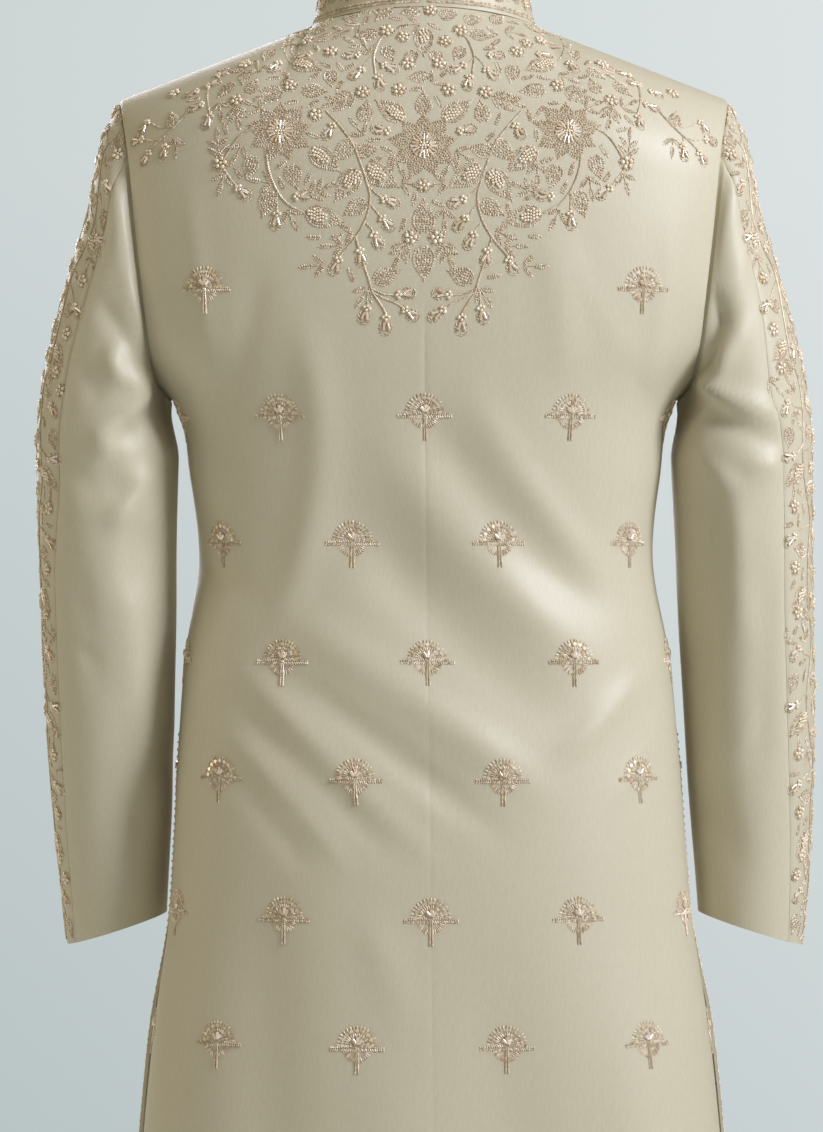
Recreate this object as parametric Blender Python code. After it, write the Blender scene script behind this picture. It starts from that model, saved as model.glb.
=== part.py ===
"""Sherwani coat, as worn and left hollow: a long fitted coat with a stand collar.

Cut as two back panels, two front panels (the left laps over the right), two-piece sleeves
and a stand collar, closed down the front by domed buttons. Metres, +Z up, the front faces -Y.
The origin is the middle of the neck opening, level with the tops of the shoulder seams.
"""

import math
from collections import namedtuple

import bmesh
import bpy
import numpy as np

# Cloth
WALL = 0.002
COLLAR_WALL = 0.003
SEAM_GAP = 0.0003
LAP_GAP = 0.0009

# Lengths and neck
HEM_HEIGHT = -1.070
UNDERARM_HEIGHT = -0.285
NECK_HALF_WIDTH = 0.085
NECK_DEPTH = {"back": 0.062, "front": 0.072}
NECK_RISE = {"back": 0.008, "front": -0.058}
COLLAR_HEIGHT = 0.045
COLLAR_TAPER = 0.90

# Shoulders
SHOULDER_TIP_X = 0.233
SHOULDER_SLOPE = math.tan(math.radians(20.8))
ROLL_AT_NECK = {"back": 0.130, "front": 0.150}
ROLL_AT_TIP = 0.070

# Front closing and side slits
LAP = 0.018
JOGGLE_START = 0.021
NECK_CURVE_REACH = 0.050
BUTTON_COUNT = 7
BUTTON_TOP = -0.090
BUTTON_PITCH = 0.085
BUTTON_RADIUS = 0.008
BUTTON_RISE = 0.0055
BUTTON_SIDES = 12
BUTTON_RINGS = 3
SLIT_TOP = -0.670
SLIT_TURN = {"back": math.radians(5.0), "front": math.radians(2.0)}
SLIT_FLARE = {"back": 0.0, "front": 0.004}

# The hips stand a little to the wearer's right of the neck.
SWAY = -0.006
SWAY_TOP = -0.20
SWAY_BOTTOM = -0.85

# Grid: columns from the centre line to the side, rows from the hem to the top
SQUARENESS = 2.4
NECK_COLUMNS = 6
SHOULDER_COLUMNS = 8
LOWER_ROWS = 25
ARMHOLE_ROWS = 10
HEAD_ROWS = 8
ARM_ROWS = 14
COLLAR_ROWS = 2

Section = namedtuple("Section", "height half_width back front")
BODY = (
    Section(-1.070, 0.2330, 0.150, 0.150),
    Section(-0.950, 0.2270, 0.146, 0.147),
    Section(-0.842, 0.2195, 0.141, 0.143),
    Section(-0.760, 0.2110, 0.136, 0.139),
    Section(-0.680, 0.1995, 0.130, 0.134),
    Section(-0.613, 0.1945, 0.124, 0.130),
    Section(-0.555, 0.1910, 0.117, 0.127),
    Section(-0.479, 0.1845, 0.106, 0.124),
    Section(-0.403, 0.1730, 0.099, 0.123),
    Section(-0.345, 0.1790, 0.104, 0.127),
    Section(-0.285, 0.1920, 0.112, 0.130),
    Section(-0.250, 0.2200, 0.116, 0.129),
    Section(-0.217, 0.2350, 0.118, 0.126),
    Section(-0.160, 0.2440, 0.118, 0.117),
    Section(-0.100, 0.2480, 0.113, 0.106),
    Section(-0.056, 0.2540, 0.110, 0.100),
    Section(0.010, 0.2560, 0.108, 0.096),
)

Armhole = namedtuple("Armhole", "height back front")
ARMHOLE = (
    Armhole(-0.285, 0.1920, 0.1920),
    Armhole(-0.267, 0.2040, 0.1990),
    Armhole(-0.250, 0.2070, 0.1985),
    Armhole(-0.217, 0.2110, 0.1985),
    Armhole(-0.160, 0.2180, 0.2020),
    Armhole(-0.100, 0.2250, 0.2130),
    Armhole(-0.056, 0.2330, 0.2330),
)

Arm = namedtuple("Arm", "height inner outer centre_y half_depth")
ARM = (
    Arm(-0.690, 0.2035, 0.2805, -0.036, 0.047),
    Arm(-0.610, 0.1985, 0.2880, -0.027, 0.051),
    Arm(-0.575, 0.1965, 0.2905, -0.022, 0.053),
    Arm(-0.500, 0.1935, 0.2935, -0.012, 0.057),
    Arm(-0.450, 0.1915, 0.2940, -0.006, 0.059),
    Arm(-0.400, 0.1905, 0.2950, -0.002, 0.062),
    Arm(-0.330, 0.1880, 0.2960, 0.000, 0.066),
)
ARM_SWING = {"left": 0.0, "right": 0.007}
CUFF_SLANT = -0.316
SLANT_START = -0.575

# Where each sleeve's two seams run, in degrees round the arm from its outer side
Seam = namedtuple("Seam", "along left_back left_front right_back right_front")
SLEEVE_SEAMS = (
    Seam(0.00, 54.0, -108.0, 54.0, -108.0),
    Seam(0.20, 44.0, -112.0, 50.0, -108.0),
    Seam(0.45, 40.0, -116.0, 52.0, -106.0),
    Seam(1.00, 41.0, -118.0, 56.0, -104.0),
)
ROPE_RISE = 0.006
ROPE_AT = 0.045
ROPE_WIDTH = 0.045

# Largest folds: from one end to the other on the panel, half width across, height (a hollow is less than 0)
Fold = namedtuple("Fold", "panel x0 z0 x1 z1 width height")
FOLDS = (
    Fold("back", 0.001, -0.340, -0.118, -0.520, 0.026, -0.0060),
    Fold("back", -0.070, -0.335, -0.165, -0.450, 0.026, 0.0050),
    Fold("back", 0.115, -0.432, -0.095, -0.560, 0.022, 0.0055),
    Fold("back", 0.110, -0.464, -0.082, -0.615, 0.020, -0.0050),
    Fold("back", 0.162, -0.520, 0.050, -0.664, 0.018, -0.0045),
    Fold("back", 0.140, -0.545, -0.005, -0.655, 0.022, 0.0040),
    Fold("back", -0.180, -0.480, -0.112, -0.568, 0.018, -0.0040),
    Fold("back", -0.096, -0.160, -0.142, -0.262, 0.018, 0.0035),
    Fold("back", 0.190, -0.150, 0.178, -0.290, 0.014, -0.0030),
    Fold("back", -0.040, -0.690, -0.085, -1.070, 0.034, -0.0050),
    Fold("back", 0.128, -0.600, 0.118, -1.070, 0.030, -0.0040),
    Fold("back", 0.030, -0.760, 0.024, -1.070, 0.030, 0.0040),
    Fold("back", -0.150, -0.720, -0.162, -1.070, 0.030, 0.0040),
    Fold("front", 0.020, -0.350, 0.120, -0.470, 0.024, -0.0040),
    Fold("front", -0.030, -0.370, -0.130, -0.500, 0.022, -0.0045),
    Fold("front", 0.150, -0.420, 0.040, -0.560, 0.022, 0.0040),
    Fold("front", -0.150, -0.450, -0.045, -0.600, 0.022, 0.0035),
    Fold("front", 0.160, -0.200, 0.120, -0.330, 0.018, -0.0030),
    Fold("front", -0.160, -0.210, -0.110, -0.320, 0.018, -0.0030),
    Fold("front", 0.105, -0.640, 0.120, -1.070, 0.032, 0.0045),
    Fold("front", -0.110, -0.660, -0.120, -1.070, 0.030, -0.0045),
    Fold("front", 0.060, -0.700, 0.056, -1.070, 0.030, -0.0040),
    Fold("front", -0.060, -0.730, -0.062, -1.070, 0.030, 0.0040),
)

# Sleeve folds: turn in degrees from the arm's outer side, height up the arm
Crease = namedtuple("Crease", "arm turn0 z0 turn1 z1 width height")
CREASES = (
    Crease("left", 62.0, -0.240, 96.0, -0.272, 0.014, 0.0045),
    Crease("left", 96.0, -0.272, 66.0, -0.318, 0.014, 0.0045),
    Crease("left", 60.0, -0.300, 110.0, -0.352, 0.013, -0.0040),
    Crease("left", 70.0, -0.405, 120.0, -0.440, 0.015, -0.0035),
    Crease("left", 140.0, -0.335, 176.0, -0.420, 0.014, -0.0035),
    Crease("left", 80.0, -0.560, 118.0, -0.600, 0.016, -0.0025),
    Crease("left", -30.0, -0.360, -80.0, -0.395, 0.014, -0.0040),
    Crease("left", -40.0, -0.420, -96.0, -0.398, 0.014, -0.0035),
    Crease("right", 72.0, -0.225, 116.0, -0.268, 0.013, -0.0055),
    Crease("right", 84.0, -0.292, 128.0, -0.300, 0.014, -0.0040),
    Crease("right", 52.0, -0.275, 96.0, -0.290, 0.012, 0.0040),
    Crease("right", 96.0, -0.340, 100.0, -0.560, 0.020, 0.0030),
    Crease("right", 150.0, -0.330, 172.0, -0.430, 0.014, -0.0035),
    Crease("right", 84.0, -0.590, 122.0, -0.640, 0.016, -0.0025),
    Crease("right", -28.0, -0.350, -84.0, -0.388, 0.014, -0.0040),
    Crease("right", -44.0, -0.425, -92.0, -0.402, 0.014, -0.0035),
)
SEAM_QUIET = 0.030

CLOTH = ("sherwani satin", (0.40, 0.37, 0.28), 0.45, 0.0)
EMBROIDERED = ("embroidered satin", (0.42, 0.35, 0.25), 0.50, 0.0)
METAL = ("antique gilt button", (0.45, 0.33, 0.16), 0.35, 1.0)


def ease(low, high, value):
    """Smooth step from 0 at low to 1 at high."""
    t = np.clip((value - low) / (high - low), 0.0, 1.0)
    return t * t * (3.0 - 2.0 * t)


def along(table, name, at):
    """A column of a table read at any place of its first column, on a smooth curve."""
    places = np.array([row[0] for row in table])
    values = np.array([getattr(row, name) for row in table])
    slopes = np.gradient(values, places)
    at = np.clip(np.asarray(at, float), places[0], places[-1])
    left = np.clip(np.searchsorted(places, at) - 1, 0, len(places) - 2)
    span = places[left + 1] - places[left]
    t = (at - places[left]) / span
    rise = (3.0 - 2.0 * t) * t * t
    return (
        (1.0 - rise) * values[left]
        + rise * values[left + 1]
        + span * ((1.0 - t) ** 2 * t * slopes[left] - t * t * (1.0 - t) * slopes[left + 1])
    )


def unit(vectors):
    return vectors / np.maximum(np.linalg.norm(vectors, axis=-1, keepdims=True), 1e-12)


def sway(height):
    return SWAY * ease(-SWAY_TOP, -SWAY_BOTTOM, -height)


def panel_columns(panel):
    """Column places u from the centre line (0) to the side (1). A front has one past the centre
    line, at its lap's edge, and one just outside the other front's edge."""
    count = NECK_COLUMNS + SHOULDER_COLUMNS
    columns = [k / count for k in range(count + 1)]
    if panel == "front":
        columns = ["lap", columns[0], "joggle", *columns[1:]]
    return columns


def column_top(panel, u):
    """Where a column ends: on the neckline near the centre, on the shoulder seam beyond."""
    neck = NECK_COLUMNS / (NECK_COLUMNS + SHOULDER_COLUMNS)
    turn = np.clip(u / neck, 0.0, 1.0) * math.pi / 2
    out = np.clip((u - neck) / (1.0 - neck), 0.0, 1.0) * (SHOULDER_TIP_X - NECK_HALF_WIDTH)
    x = NECK_HALF_WIDTH * np.sin(turn) + out
    y = NECK_DEPTH[panel] * np.cos(turn)
    z = NECK_RISE[panel] * np.cos(turn) ** 2 - SHOULDER_SLOPE * out
    return x, np.where(u >= neck, 0.0, y), z


def panel_base(panel, columns, lower_rows, armhole_rows):
    """Points of the left half of a panel before its folds, rows from the hem up, columns outwards."""
    front = -1.0 if panel == "front" else 1.0
    grid = []
    for place in columns:
        fixed_x = {"lap": -LAP, "joggle": JOGGLE_START}.get(place)
        u = place if fixed_x is None else 0.0

        # Below the underarm: level sections, open at the side slit
        low = np.linspace(HEM_HEIGHT, UNDERARM_HEIGHT, lower_rows + 1)[:-1]
        open_turn = SLIT_TURN[panel] * ease(0.0, SLIT_TOP - HEM_HEIGHT, SLIT_TOP - low) ** 0.5
        turn = u * (math.pi / 2 - open_turn)
        half_width = along(BODY, "half_width", low)
        flare = SLIT_FLARE[panel] * u**4 * ease(0.0, 0.10, SLIT_TOP - low)
        x_low = half_width * np.sin(turn) ** (2 / SQUARENESS) + flare
        y_low = along(BODY, panel, low) * np.maximum(np.cos(turn), 0.0) ** (2 / SQUARENESS)

        # Above it: rows rise to the neckline and the shoulder seam, and the side edge is the armhole
        q = np.linspace(0.0, 1.0, armhole_rows + 1)
        top_x, top_y, top_z = column_top(panel, u)
        centre_rise = 1.0 - (1.0 - q) ** 1.8
        edge_rise = (1.0 - np.cos(math.pi * q)) / 2
        rise = (1.0 - u * u) * centre_rise + u * u * edge_rise
        high = UNDERARM_HEIGHT + (top_z - UNDERARM_HEIGHT) * rise
        tip_z = -SHOULDER_SLOPE * (SHOULDER_TIP_X - NECK_HALF_WIDTH)
        edge_z = UNDERARM_HEIGHT + (tip_z - UNDERARM_HEIGHT) * edge_rise
        edge_x = along(ARMHOLE, panel, edge_z)
        spread = ease(0.15, 1.0, q)
        x_high = edge_x * (
            (1.0 - spread) * math.sin(u * math.pi / 2) ** (2 / SQUARENESS)
            + spread * top_x / SHOULDER_TIP_X
        )
        full = np.clip(1.0 - (x_high / along(BODY, "half_width", high)) ** SQUARENESS, 0.0, 1.0)
        full = along(BODY, panel, high) * full ** (1 / SQUARENESS)
        roll = ROLL_AT_NECK[panel] + (ROLL_AT_TIP - ROLL_AT_NECK[panel]) * u
        t = np.clip((top_z - high) / roll, 0.0, 1.0)
        near_neck = 1.0 - ease(0.03, 0.12, top_x)
        bend = near_neck * np.sin(t * math.pi / 2) + (1 - near_neck) * np.sqrt(1 - (1 - t) ** 2)
        y_high = top_y * (1.0 - bend) + full * bend

        x = np.concatenate([x_low, x_high])
        y = np.concatenate([y_low, y_high])
        z = np.concatenate([low, high])
        if fixed_x is not None:
            share = (np.abs(fixed_x) / along(BODY, "half_width", z)) ** SQUARENESS
            drop = 1.0 - (1.0 - share) ** (1 / SQUARENESS)
            x = np.full_like(x, fixed_x)
            y = y * (1.0 - drop)
            if place == "joggle":
                neck_curve = NECK_RISE[panel] * (fixed_x / NECK_HALF_WIDTH) ** 2
                z = z - neck_curve * np.clip(1.0 - (top_z - z) / NECK_CURVE_REACH, 0.0, 1.0)
        grid.append(np.stack([x, front * y, z], axis=-1))
    return np.stack(grid, axis=1)


def grid_normals(points, closed=False):
    """Vertex normals of a grid of points, each the sum of its faces' normals."""
    normals = np.zeros_like(points)
    right = np.roll(points, -1, axis=1) if closed else points[:, 1:]
    left = points if closed else points[:, :-1]
    faces = np.cross(right[:-1] - left[1:], right[1:] - left[:-1])
    columns = faces.shape[1]
    for row in (0, 1):
        normals[row : row + len(faces), :columns] += faces
        if closed:
            normals[row : row + len(faces)] += np.roll(faces, 1, axis=1)
        else:
            normals[row : row + len(faces), 1 : columns + 1] += faces
    return unit(normals)


def fold_height(table, kind, across, up, distance_scale=1.0):
    """Height of the folds of one panel or arm at places given across and up it."""
    total = np.zeros_like(up)
    for fold in table:
        if fold[0] != kind:
            continue
        _, a0, z0, a1, z1, width, height = fold
        run = np.array([(a1 - a0) * distance_scale, z1 - z0])
        length = math.hypot(*run)
        rel_a = (across - a0) * distance_scale
        rel_z = up - z0
        s = (rel_a * run[0] + rel_z * run[1]) / length**2
        off = (rel_a * run[1] - rel_z * run[0]) / length
        taper = ease(-0.12, 0.30, s) * ease(-0.12, 0.30, 1.0 - s)
        total = total + height * taper * np.exp(-((off / width) ** 2))
    return total


class Panel:
    """A half panel as cut: its outer and inner points, its side (1 left, -1 right) and its edges."""

    def __init__(self, panel, side):
        lapped = panel == "front" and side < 0
        columns = panel_columns(panel)
        base = panel_base(panel, columns, LOWER_ROWS, ARMHOLE_ROWS)
        face = -1.0 if panel == "front" else 1.0
        normals = grid_normals(base)
        centre = [i for i, u in enumerate(columns) if u == 0.0][0]
        if normals[0, centre, 1] * face < 0:
            normals = -normals
        if panel == "back":
            normals[:, centre, 0] = 0.0
        normals[-1, centre + NECK_COLUMNS :, 1] = 0.0
        normals[: LOWER_ROWS + 1, -1, 1] = 0.0
        normals = unit(normals)
        quiet = ease(0.0, SEAM_QUIET, np.abs(base[..., 1]))
        if panel == "front":
            quiet = quiet * ease(LAP, LAP + SEAM_QUIET, np.abs(base[..., 0]))
        height = quiet * fold_height(FOLDS, panel, side * base[..., 0], base[..., 2])
        outer = base + normals * height[..., None]
        if lapped:
            outer[:, : centre + 2] -= normals[:, : centre + 2] * (WALL + LAP_GAP)
        inner = outer - normals * WALL
        self.edge = outer[LOWER_ROWS:, -1].copy()
        self.edge_normals = normals[LOWER_ROWS:, -1].copy()
        self.neck = outer[-1, centre : centre + NECK_COLUMNS + 1].copy()
        self.normals = normals
        self.outer = outer
        for skin in (outer, inner):
            if panel == "back":
                skin[:, 0, 0] += SEAM_GAP / 2
            skin[: LOWER_ROWS + 1, -1, 1] += face * SEAM_GAP / 2
            skin[-1, centre + NECK_COLUMNS :, 1] += face * SEAM_GAP / 2
        self.skins = (outer, inner)
        self.side = side
        self.centre = centre


def armhole_loop(back, front):
    """The armhole as a closed loop from the shoulder tip round the back: points, normals, outward way."""
    loop = np.concatenate([back.edge[::-1], front.edge[1:-1]])
    loop[0, 1] = 0.0
    loop[ARMHOLE_ROWS, 1] = 0.0
    normals = unit(np.concatenate([back.edge_normals[::-1], front.edge_normals[1:-1]]))
    run = unit(np.roll(loop, -1, axis=0) - np.roll(loop, 1, axis=0))
    out = unit(np.cross(run, normals))
    return loop, normals, out if out[0, 0] > 0 else -out


def sleeve_turns(arm, share):
    """Turns in radians of the tube's columns at a share of the way down, first the top piece's."""
    seam_back = float(along(SLEEVE_SEAMS, arm + "_back", share))
    seam_front = float(along(SLEEVE_SEAMS, arm + "_front", share))
    step = 180.0 / ARMHOLE_ROWS
    top_count = round((SLEEVE_SEAMS[0].left_back - SLEEVE_SEAMS[0].left_front) / step)
    under_count = 2 * ARMHOLE_ROWS - top_count
    top = np.linspace(seam_front, seam_back, top_count + 1)[:-1]
    under = np.linspace(seam_back, seam_front + 360.0, under_count + 1)[:-1]
    return np.radians(np.concatenate([top, under])), top_count


def arm_ring(arm, turns, height):
    """A level section of the arm, slanted near the cuff and swung out a little down its length."""
    swing = ARM_SWING[arm] * ease(-ARM[-1].height, -ARM[0].height, -height)
    inner = along(ARM, "inner", height) + swing / 2
    outer = along(ARM, "outer", height) + swing
    x = (inner + outer) / 2 + (outer - inner) / 2 * np.cos(turns)
    y = along(ARM, "centre_y", height) + along(ARM, "half_depth", height) * np.sin(turns)
    slant = CUFF_SLANT * ease(-SLANT_START, -ARM[0].height, -height)
    return np.stack([x, y, height + slant * (x - (inner + outer) / 2)], axis=-1)


def sleeve_tube(arm, loop, loop_normals, loop_out):
    """Outer and inner points of a whole sleeve, rows from the armhole down, columns round it."""
    start_turns, top_count = sleeve_turns(arm, 0.0)
    step = math.pi / ARMHOLE_ROWS
    order = np.round(start_turns / step).astype(int) % (2 * ARMHOLE_ROWS)
    start = loop[order]
    first_height = ARM[-1].height
    ring_z = np.linspace(first_height, ARM[0].height, ARM_ROWS + 1)
    total_rows = HEAD_ROWS + ARM_ROWS
    rows = []
    for i in range(total_rows + 1):
        turns, _ = sleeve_turns(arm, i / total_rows)
        if i >= HEAD_ROWS:
            rows.append(arm_ring(arm, turns, ring_z[i - HEAD_ROWS]))
            continue
        s = i / HEAD_ROWS
        end = arm_ring(arm, turns, first_height)
        below = arm_ring(arm, turns, first_height - 0.01)
        leave = np.stack(
            [0.032 + 0.018 * np.cos(turns), 0.030 * np.sin(turns), -0.1475 - 0.1025 * np.cos(turns)],
            axis=-1,
        )
        reach = np.maximum(start[:, 2] - first_height, 0.045)
        arrive = (below - end) / 0.01 * reach[:, None]
        rows.append(
            (2 * s**3 - 3 * s**2 + 1) * start
            + (s**3 - 2 * s**2 + s) * leave
            + (3 * s**2 - 2 * s**3) * end
            + (s**3 - s**2) * arrive
        )
    tube = np.stack(rows)
    normals = grid_normals(tube, closed=True)
    if (normals[HEAD_ROWS, 0] @ (tube[HEAD_ROWS, 0] - tube[HEAD_ROWS].mean(axis=0))) < 0:
        normals = -normals
    share = np.arange(total_rows + 1)[:, None] / total_rows
    turns = np.stack([sleeve_turns(arm, i / total_rows)[0] for i in range(total_rows + 1)])
    rope = ROPE_RISE * np.exp(-(((share - ROPE_AT) / ROPE_WIDTH) ** 2)) * ease(0.0, 0.04, share)
    rope = rope * ease(-0.2, 0.7, np.cos(turns))
    degrees = np.degrees(turns)
    degrees = np.where(degrees > 200.0, degrees - 360.0, degrees)
    creases = fold_height(CREASES, arm, degrees, tube[..., 2], distance_scale=0.001)
    creases = creases * ease(0.05, 0.30, share)
    outer = tube + normals * (rope + creases)[..., None]

    # The tube's first ring stands clear of the armhole's edge
    away = loop_out[order]
    clear = SEAM_GAP + WALL * np.maximum((normals[0] * away).sum(axis=-1), 0.0)
    outer[0] += SEAM_GAP * loop_normals[order] + clear[:, None] * away
    return outer, outer - normals * WALL, top_count


def split_sleeve(skins, top_count):
    """The top piece's and the under piece's skins, parted by the seam gap."""
    pieces = []
    count = skins[0].shape[1]
    for first, last in ((0, top_count), (top_count, count)):
        picked = []
        for skin in skins:
            piece = np.stack([skin[:, k % count] for k in range(first, last + 1)], axis=1)
            for edge, inside in ((0, 1), (-1, -2)):
                way = unit(piece[:, inside] - piece[:, edge])
                piece[:, edge] += way * SEAM_GAP / 2
            picked.append(piece)
        pieces.append(tuple(picked))
    return pieces


def collar_skins(back, front):
    """Outer and inner points of the stand collar, from centre front round the back to centre front."""
    quarter_back = back.neck
    quarter_front = front.neck
    half = np.concatenate([quarter_front[:-1], quarter_back[::-1]])
    half[NECK_COLUMNS, 1] = 0.0
    half[0, 0] = SEAM_GAP * 5
    mirrored = half[:-1][::-1] * np.array([-1.0, 1.0, 1.0])
    base = np.concatenate([half, mirrored])
    rows = []
    for i in range(COLLAR_ROWS + 1):
        share = i / COLLAR_ROWS
        taper = 1.0 - (1.0 - COLLAR_TAPER) * share**0.8
        ring = base * np.array([taper, taper, 1.0])
        ring[:, 2] += SEAM_GAP + COLLAR_HEIGHT * share
        rows.append(ring)
    outer = np.stack(rows)
    outer[:, 0, 0] = half[0, 0]
    outer[:, -1, 0] = -half[0, 0]
    normals = grid_normals(outer)
    if normals[0, len(half) - 1, 1] < 0:
        normals = -normals
    normals[..., 2] = 0.0
    normals[:, 0, 0] = 0.0
    normals[:, -1, 0] = 0.0
    normals = unit(normals)
    return outer, outer - normals * COLLAR_WALL


def placed(skin, side):
    """A skin on its own side of the coat, with the hips' sway."""
    moved = skin * np.array([side, 1.0, 1.0])
    moved[..., 0] += sway(moved[..., 2])
    return moved


def make_material(finish):
    name, colour, roughness, metallic = finish
    material = bpy.data.materials.get(name)
    if material is None:
        material = bpy.data.materials.new(name)
        material.use_nodes = True
        shader = material.node_tree.nodes["Principled BSDF"]
        shader.inputs["Base Color"].default_value = (*colour, 1.0)
        shader.inputs["Roughness"].default_value = roughness
        shader.inputs["Metallic"].default_value = metallic
    return material


def add_object(name, mesh, finish):
    mesh.materials.append(make_material(finish))
    mesh.shade_smooth()
    mesh.set_sharp_from_angle(angle=math.radians(50.0))
    part = bpy.data.objects.new(name, mesh)
    bpy.context.scene.collection.objects.link(part)
    return part


def add_wall(name, outer, inner, finish):
    """A closed wall between two grids of points: both skins, and the rim that joins them."""
    rows, columns, _ = outer.shape
    bm = bmesh.new()
    layers = []
    for skin in (outer, inner):
        layers.append([[bm.verts.new(skin[i, j]) for j in range(columns)] for i in range(rows)])
    for layer in layers:
        for i in range(rows - 1):
            for j in range(columns - 1):
                bm.faces.new((layer[i][j], layer[i][j + 1], layer[i + 1][j + 1], layer[i + 1][j]))
    top, under = layers
    border = [(0, j) for j in range(columns - 1)]
    border += [(i, columns - 1) for i in range(rows - 1)]
    border += [(rows - 1, j) for j in range(columns - 1, 0, -1)]
    border += [(i, 0) for i in range(rows - 1, 0, -1)]
    for (a, b), (c, d) in zip(border, border[1:] + border[:1]):
        bm.faces.new((top[a][b], under[a][b], under[c][d], top[c][d]))
    bmesh.ops.recalc_face_normals(bm, faces=bm.faces)
    mesh = bpy.data.meshes.new(name)
    bm.to_mesh(mesh)
    bm.free()
    return add_object(name, mesh, finish)


def add_button(index, front):
    """A domed button that sits on the left front, on the centre line."""
    height = BUTTON_TOP - index * BUTTON_PITCH
    line = front.outer[:, front.centre]
    way = front.normals[:, front.centre]
    seat = np.array([np.interp(height, line[:, 2], line[:, axis]) for axis in range(3)])
    normal = unit(np.array([np.interp(height, line[:, 2], way[:, axis]) for axis in range(3)]))
    seat[0] += sway(height)
    across = unit(np.cross(normal, (0.0, 0.0, 1.0)))
    up = np.cross(normal, across)
    bm = bmesh.new()
    rings = []
    for ring in range(BUTTON_RINGS):
        lift = ring / BUTTON_RINGS * math.pi / 2
        radius = BUTTON_RADIUS * math.cos(lift)
        rise = BUTTON_RISE * math.sin(lift) + 3 * SEAM_GAP
        centre = seat + normal * rise
        turns = [2 * math.pi * k / BUTTON_SIDES for k in range(BUTTON_SIDES)]
        rings.append(
            [bm.verts.new(centre + radius * (math.cos(a) * across + math.sin(a) * up)) for a in turns]
        )
    crown = bm.verts.new(seat + normal * (BUTTON_RISE + 3 * SEAM_GAP))
    bm.faces.new(rings[0])
    for k in range(BUTTON_SIDES):
        after = (k + 1) % BUTTON_SIDES
        for low, high in zip(rings, rings[1:]):
            bm.faces.new((low[k], low[after], high[after], high[k]))
        bm.faces.new((rings[-1][k], rings[-1][after], crown))
    bmesh.ops.recalc_face_normals(bm, faces=bm.faces)
    mesh = bpy.data.meshes.new(f"button_{index + 1}")
    bm.to_mesh(mesh)
    bm.free()
    return add_object(f"button_{index + 1}", mesh, METAL)


def build():
    for item in list(bpy.data.objects):
        bpy.data.objects.remove(item)
    halves = {}
    for name, side in (("left", 1.0), ("right", -1.0)):
        back = Panel("back", side)
        front = Panel("front", side)
        halves[name] = (back, front)
        for kind, panel in (("back", back), ("front", front)):
            outer, inner = (placed(skin, side) for skin in panel.skins)
            add_wall(f"{kind}_{name}", outer, inner, CLOTH)
        loop, loop_normals, loop_out = armhole_loop(back, front)
        outer, inner, top_count = sleeve_tube(name, loop, loop_normals, loop_out)
        top, under = split_sleeve((outer, inner), top_count)
        for kind, piece, finish in (("top", top, EMBROIDERED), ("under", under, CLOTH)):
            outer, inner = (placed(skin, side) for skin in piece)
            add_wall(f"sleeve_{kind}_{name}", outer, inner, finish)
    outer, inner = (placed(skin, 1.0) for skin in collar_skins(*halves["left"]))
    add_wall("collar", outer, inner, EMBROIDERED)
    for index in range(BUTTON_COUNT):
        add_button(index, halves["left"][1])


build()
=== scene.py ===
"""Dresses the sherwani coat's frame: satin panels with their folds, seams, beaded and
threaded embroidery, buttons, studio floor, lights and camera. Laid out as an add-on, run as a script."""

import math
from collections import namedtuple

import bpy
import numpy as np
from bpy.props import FloatProperty, FloatVectorProperty, PointerProperty
from mathutils import Matrix, Vector
from mathutils.bvhtree import BVHTree


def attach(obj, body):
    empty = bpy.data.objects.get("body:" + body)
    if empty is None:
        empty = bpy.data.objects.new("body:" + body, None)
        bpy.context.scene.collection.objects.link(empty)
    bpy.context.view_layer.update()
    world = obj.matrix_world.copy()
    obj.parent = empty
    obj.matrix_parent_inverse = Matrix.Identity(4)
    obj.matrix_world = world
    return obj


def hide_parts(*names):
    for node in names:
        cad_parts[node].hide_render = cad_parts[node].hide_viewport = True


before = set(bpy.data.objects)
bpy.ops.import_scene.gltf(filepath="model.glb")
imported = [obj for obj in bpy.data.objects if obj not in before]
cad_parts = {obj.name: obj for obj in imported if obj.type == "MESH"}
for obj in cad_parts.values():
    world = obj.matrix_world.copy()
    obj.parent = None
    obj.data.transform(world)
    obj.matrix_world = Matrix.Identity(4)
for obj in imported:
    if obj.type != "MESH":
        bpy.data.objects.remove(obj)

bl_info = {
    "name": "Sherwani coat dressing",
    "version": (1, 0, 0),
    "blender": (4, 5, 0),
    "location": "3D View > Sidebar > Sherwani",
    "description": "Satin, seams, embroidery and studio for the sherwani coat",
    "category": "Object",
}

# The coat's own sizes, as its panels are cut
WALL = 0.002
COLLAR_WALL = 0.003
SEAM_GAP = 0.0003
LAP_GAP = 0.0009
HEM_HEIGHT = -1.070
UNDERARM_HEIGHT = -0.285
NECK_HALF_WIDTH = 0.085
NECK_DEPTH = {"back": 0.062, "front": 0.072}
NECK_RISE = {"back": 0.008, "front": -0.058}
COLLAR_HEIGHT = 0.045
COLLAR_TAPER = 0.90
SHOULDER_TIP_X = 0.233
SHOULDER_SLOPE = math.tan(math.radians(20.8))
ROLL_AT_NECK = {"back": 0.130, "front": 0.150}
ROLL_AT_TIP = 0.070
LAP = 0.018
JOGGLE_START = 0.021
JOGGLE_END = 0.031
NECK_CURVE_REACH = 0.050
SLIT_TOP = -0.670
SLIT_TURN = {"back": math.radians(5.0), "front": math.radians(2.0)}
SLIT_FLARE = {"back": 0.0, "front": 0.004}
SWAY = -0.006
SWAY_TOP = -0.20
SWAY_BOTTOM = -0.85
SQUARENESS = 2.4
NECK_SHARE = 6 / 14
HEAD_SHARE = 8 / 22
ARM_SWING = {"left": 0.0, "right": 0.007}
CUFF_SLANT = -0.316
SLANT_START = -0.575
ROPE_RISE = 0.006
ROPE_AT = 0.045
ROPE_WIDTH = 0.045
SEAM_QUIET = 0.030
BUTTON_COUNT = 7
BUTTON_TOP = -0.090
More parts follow.
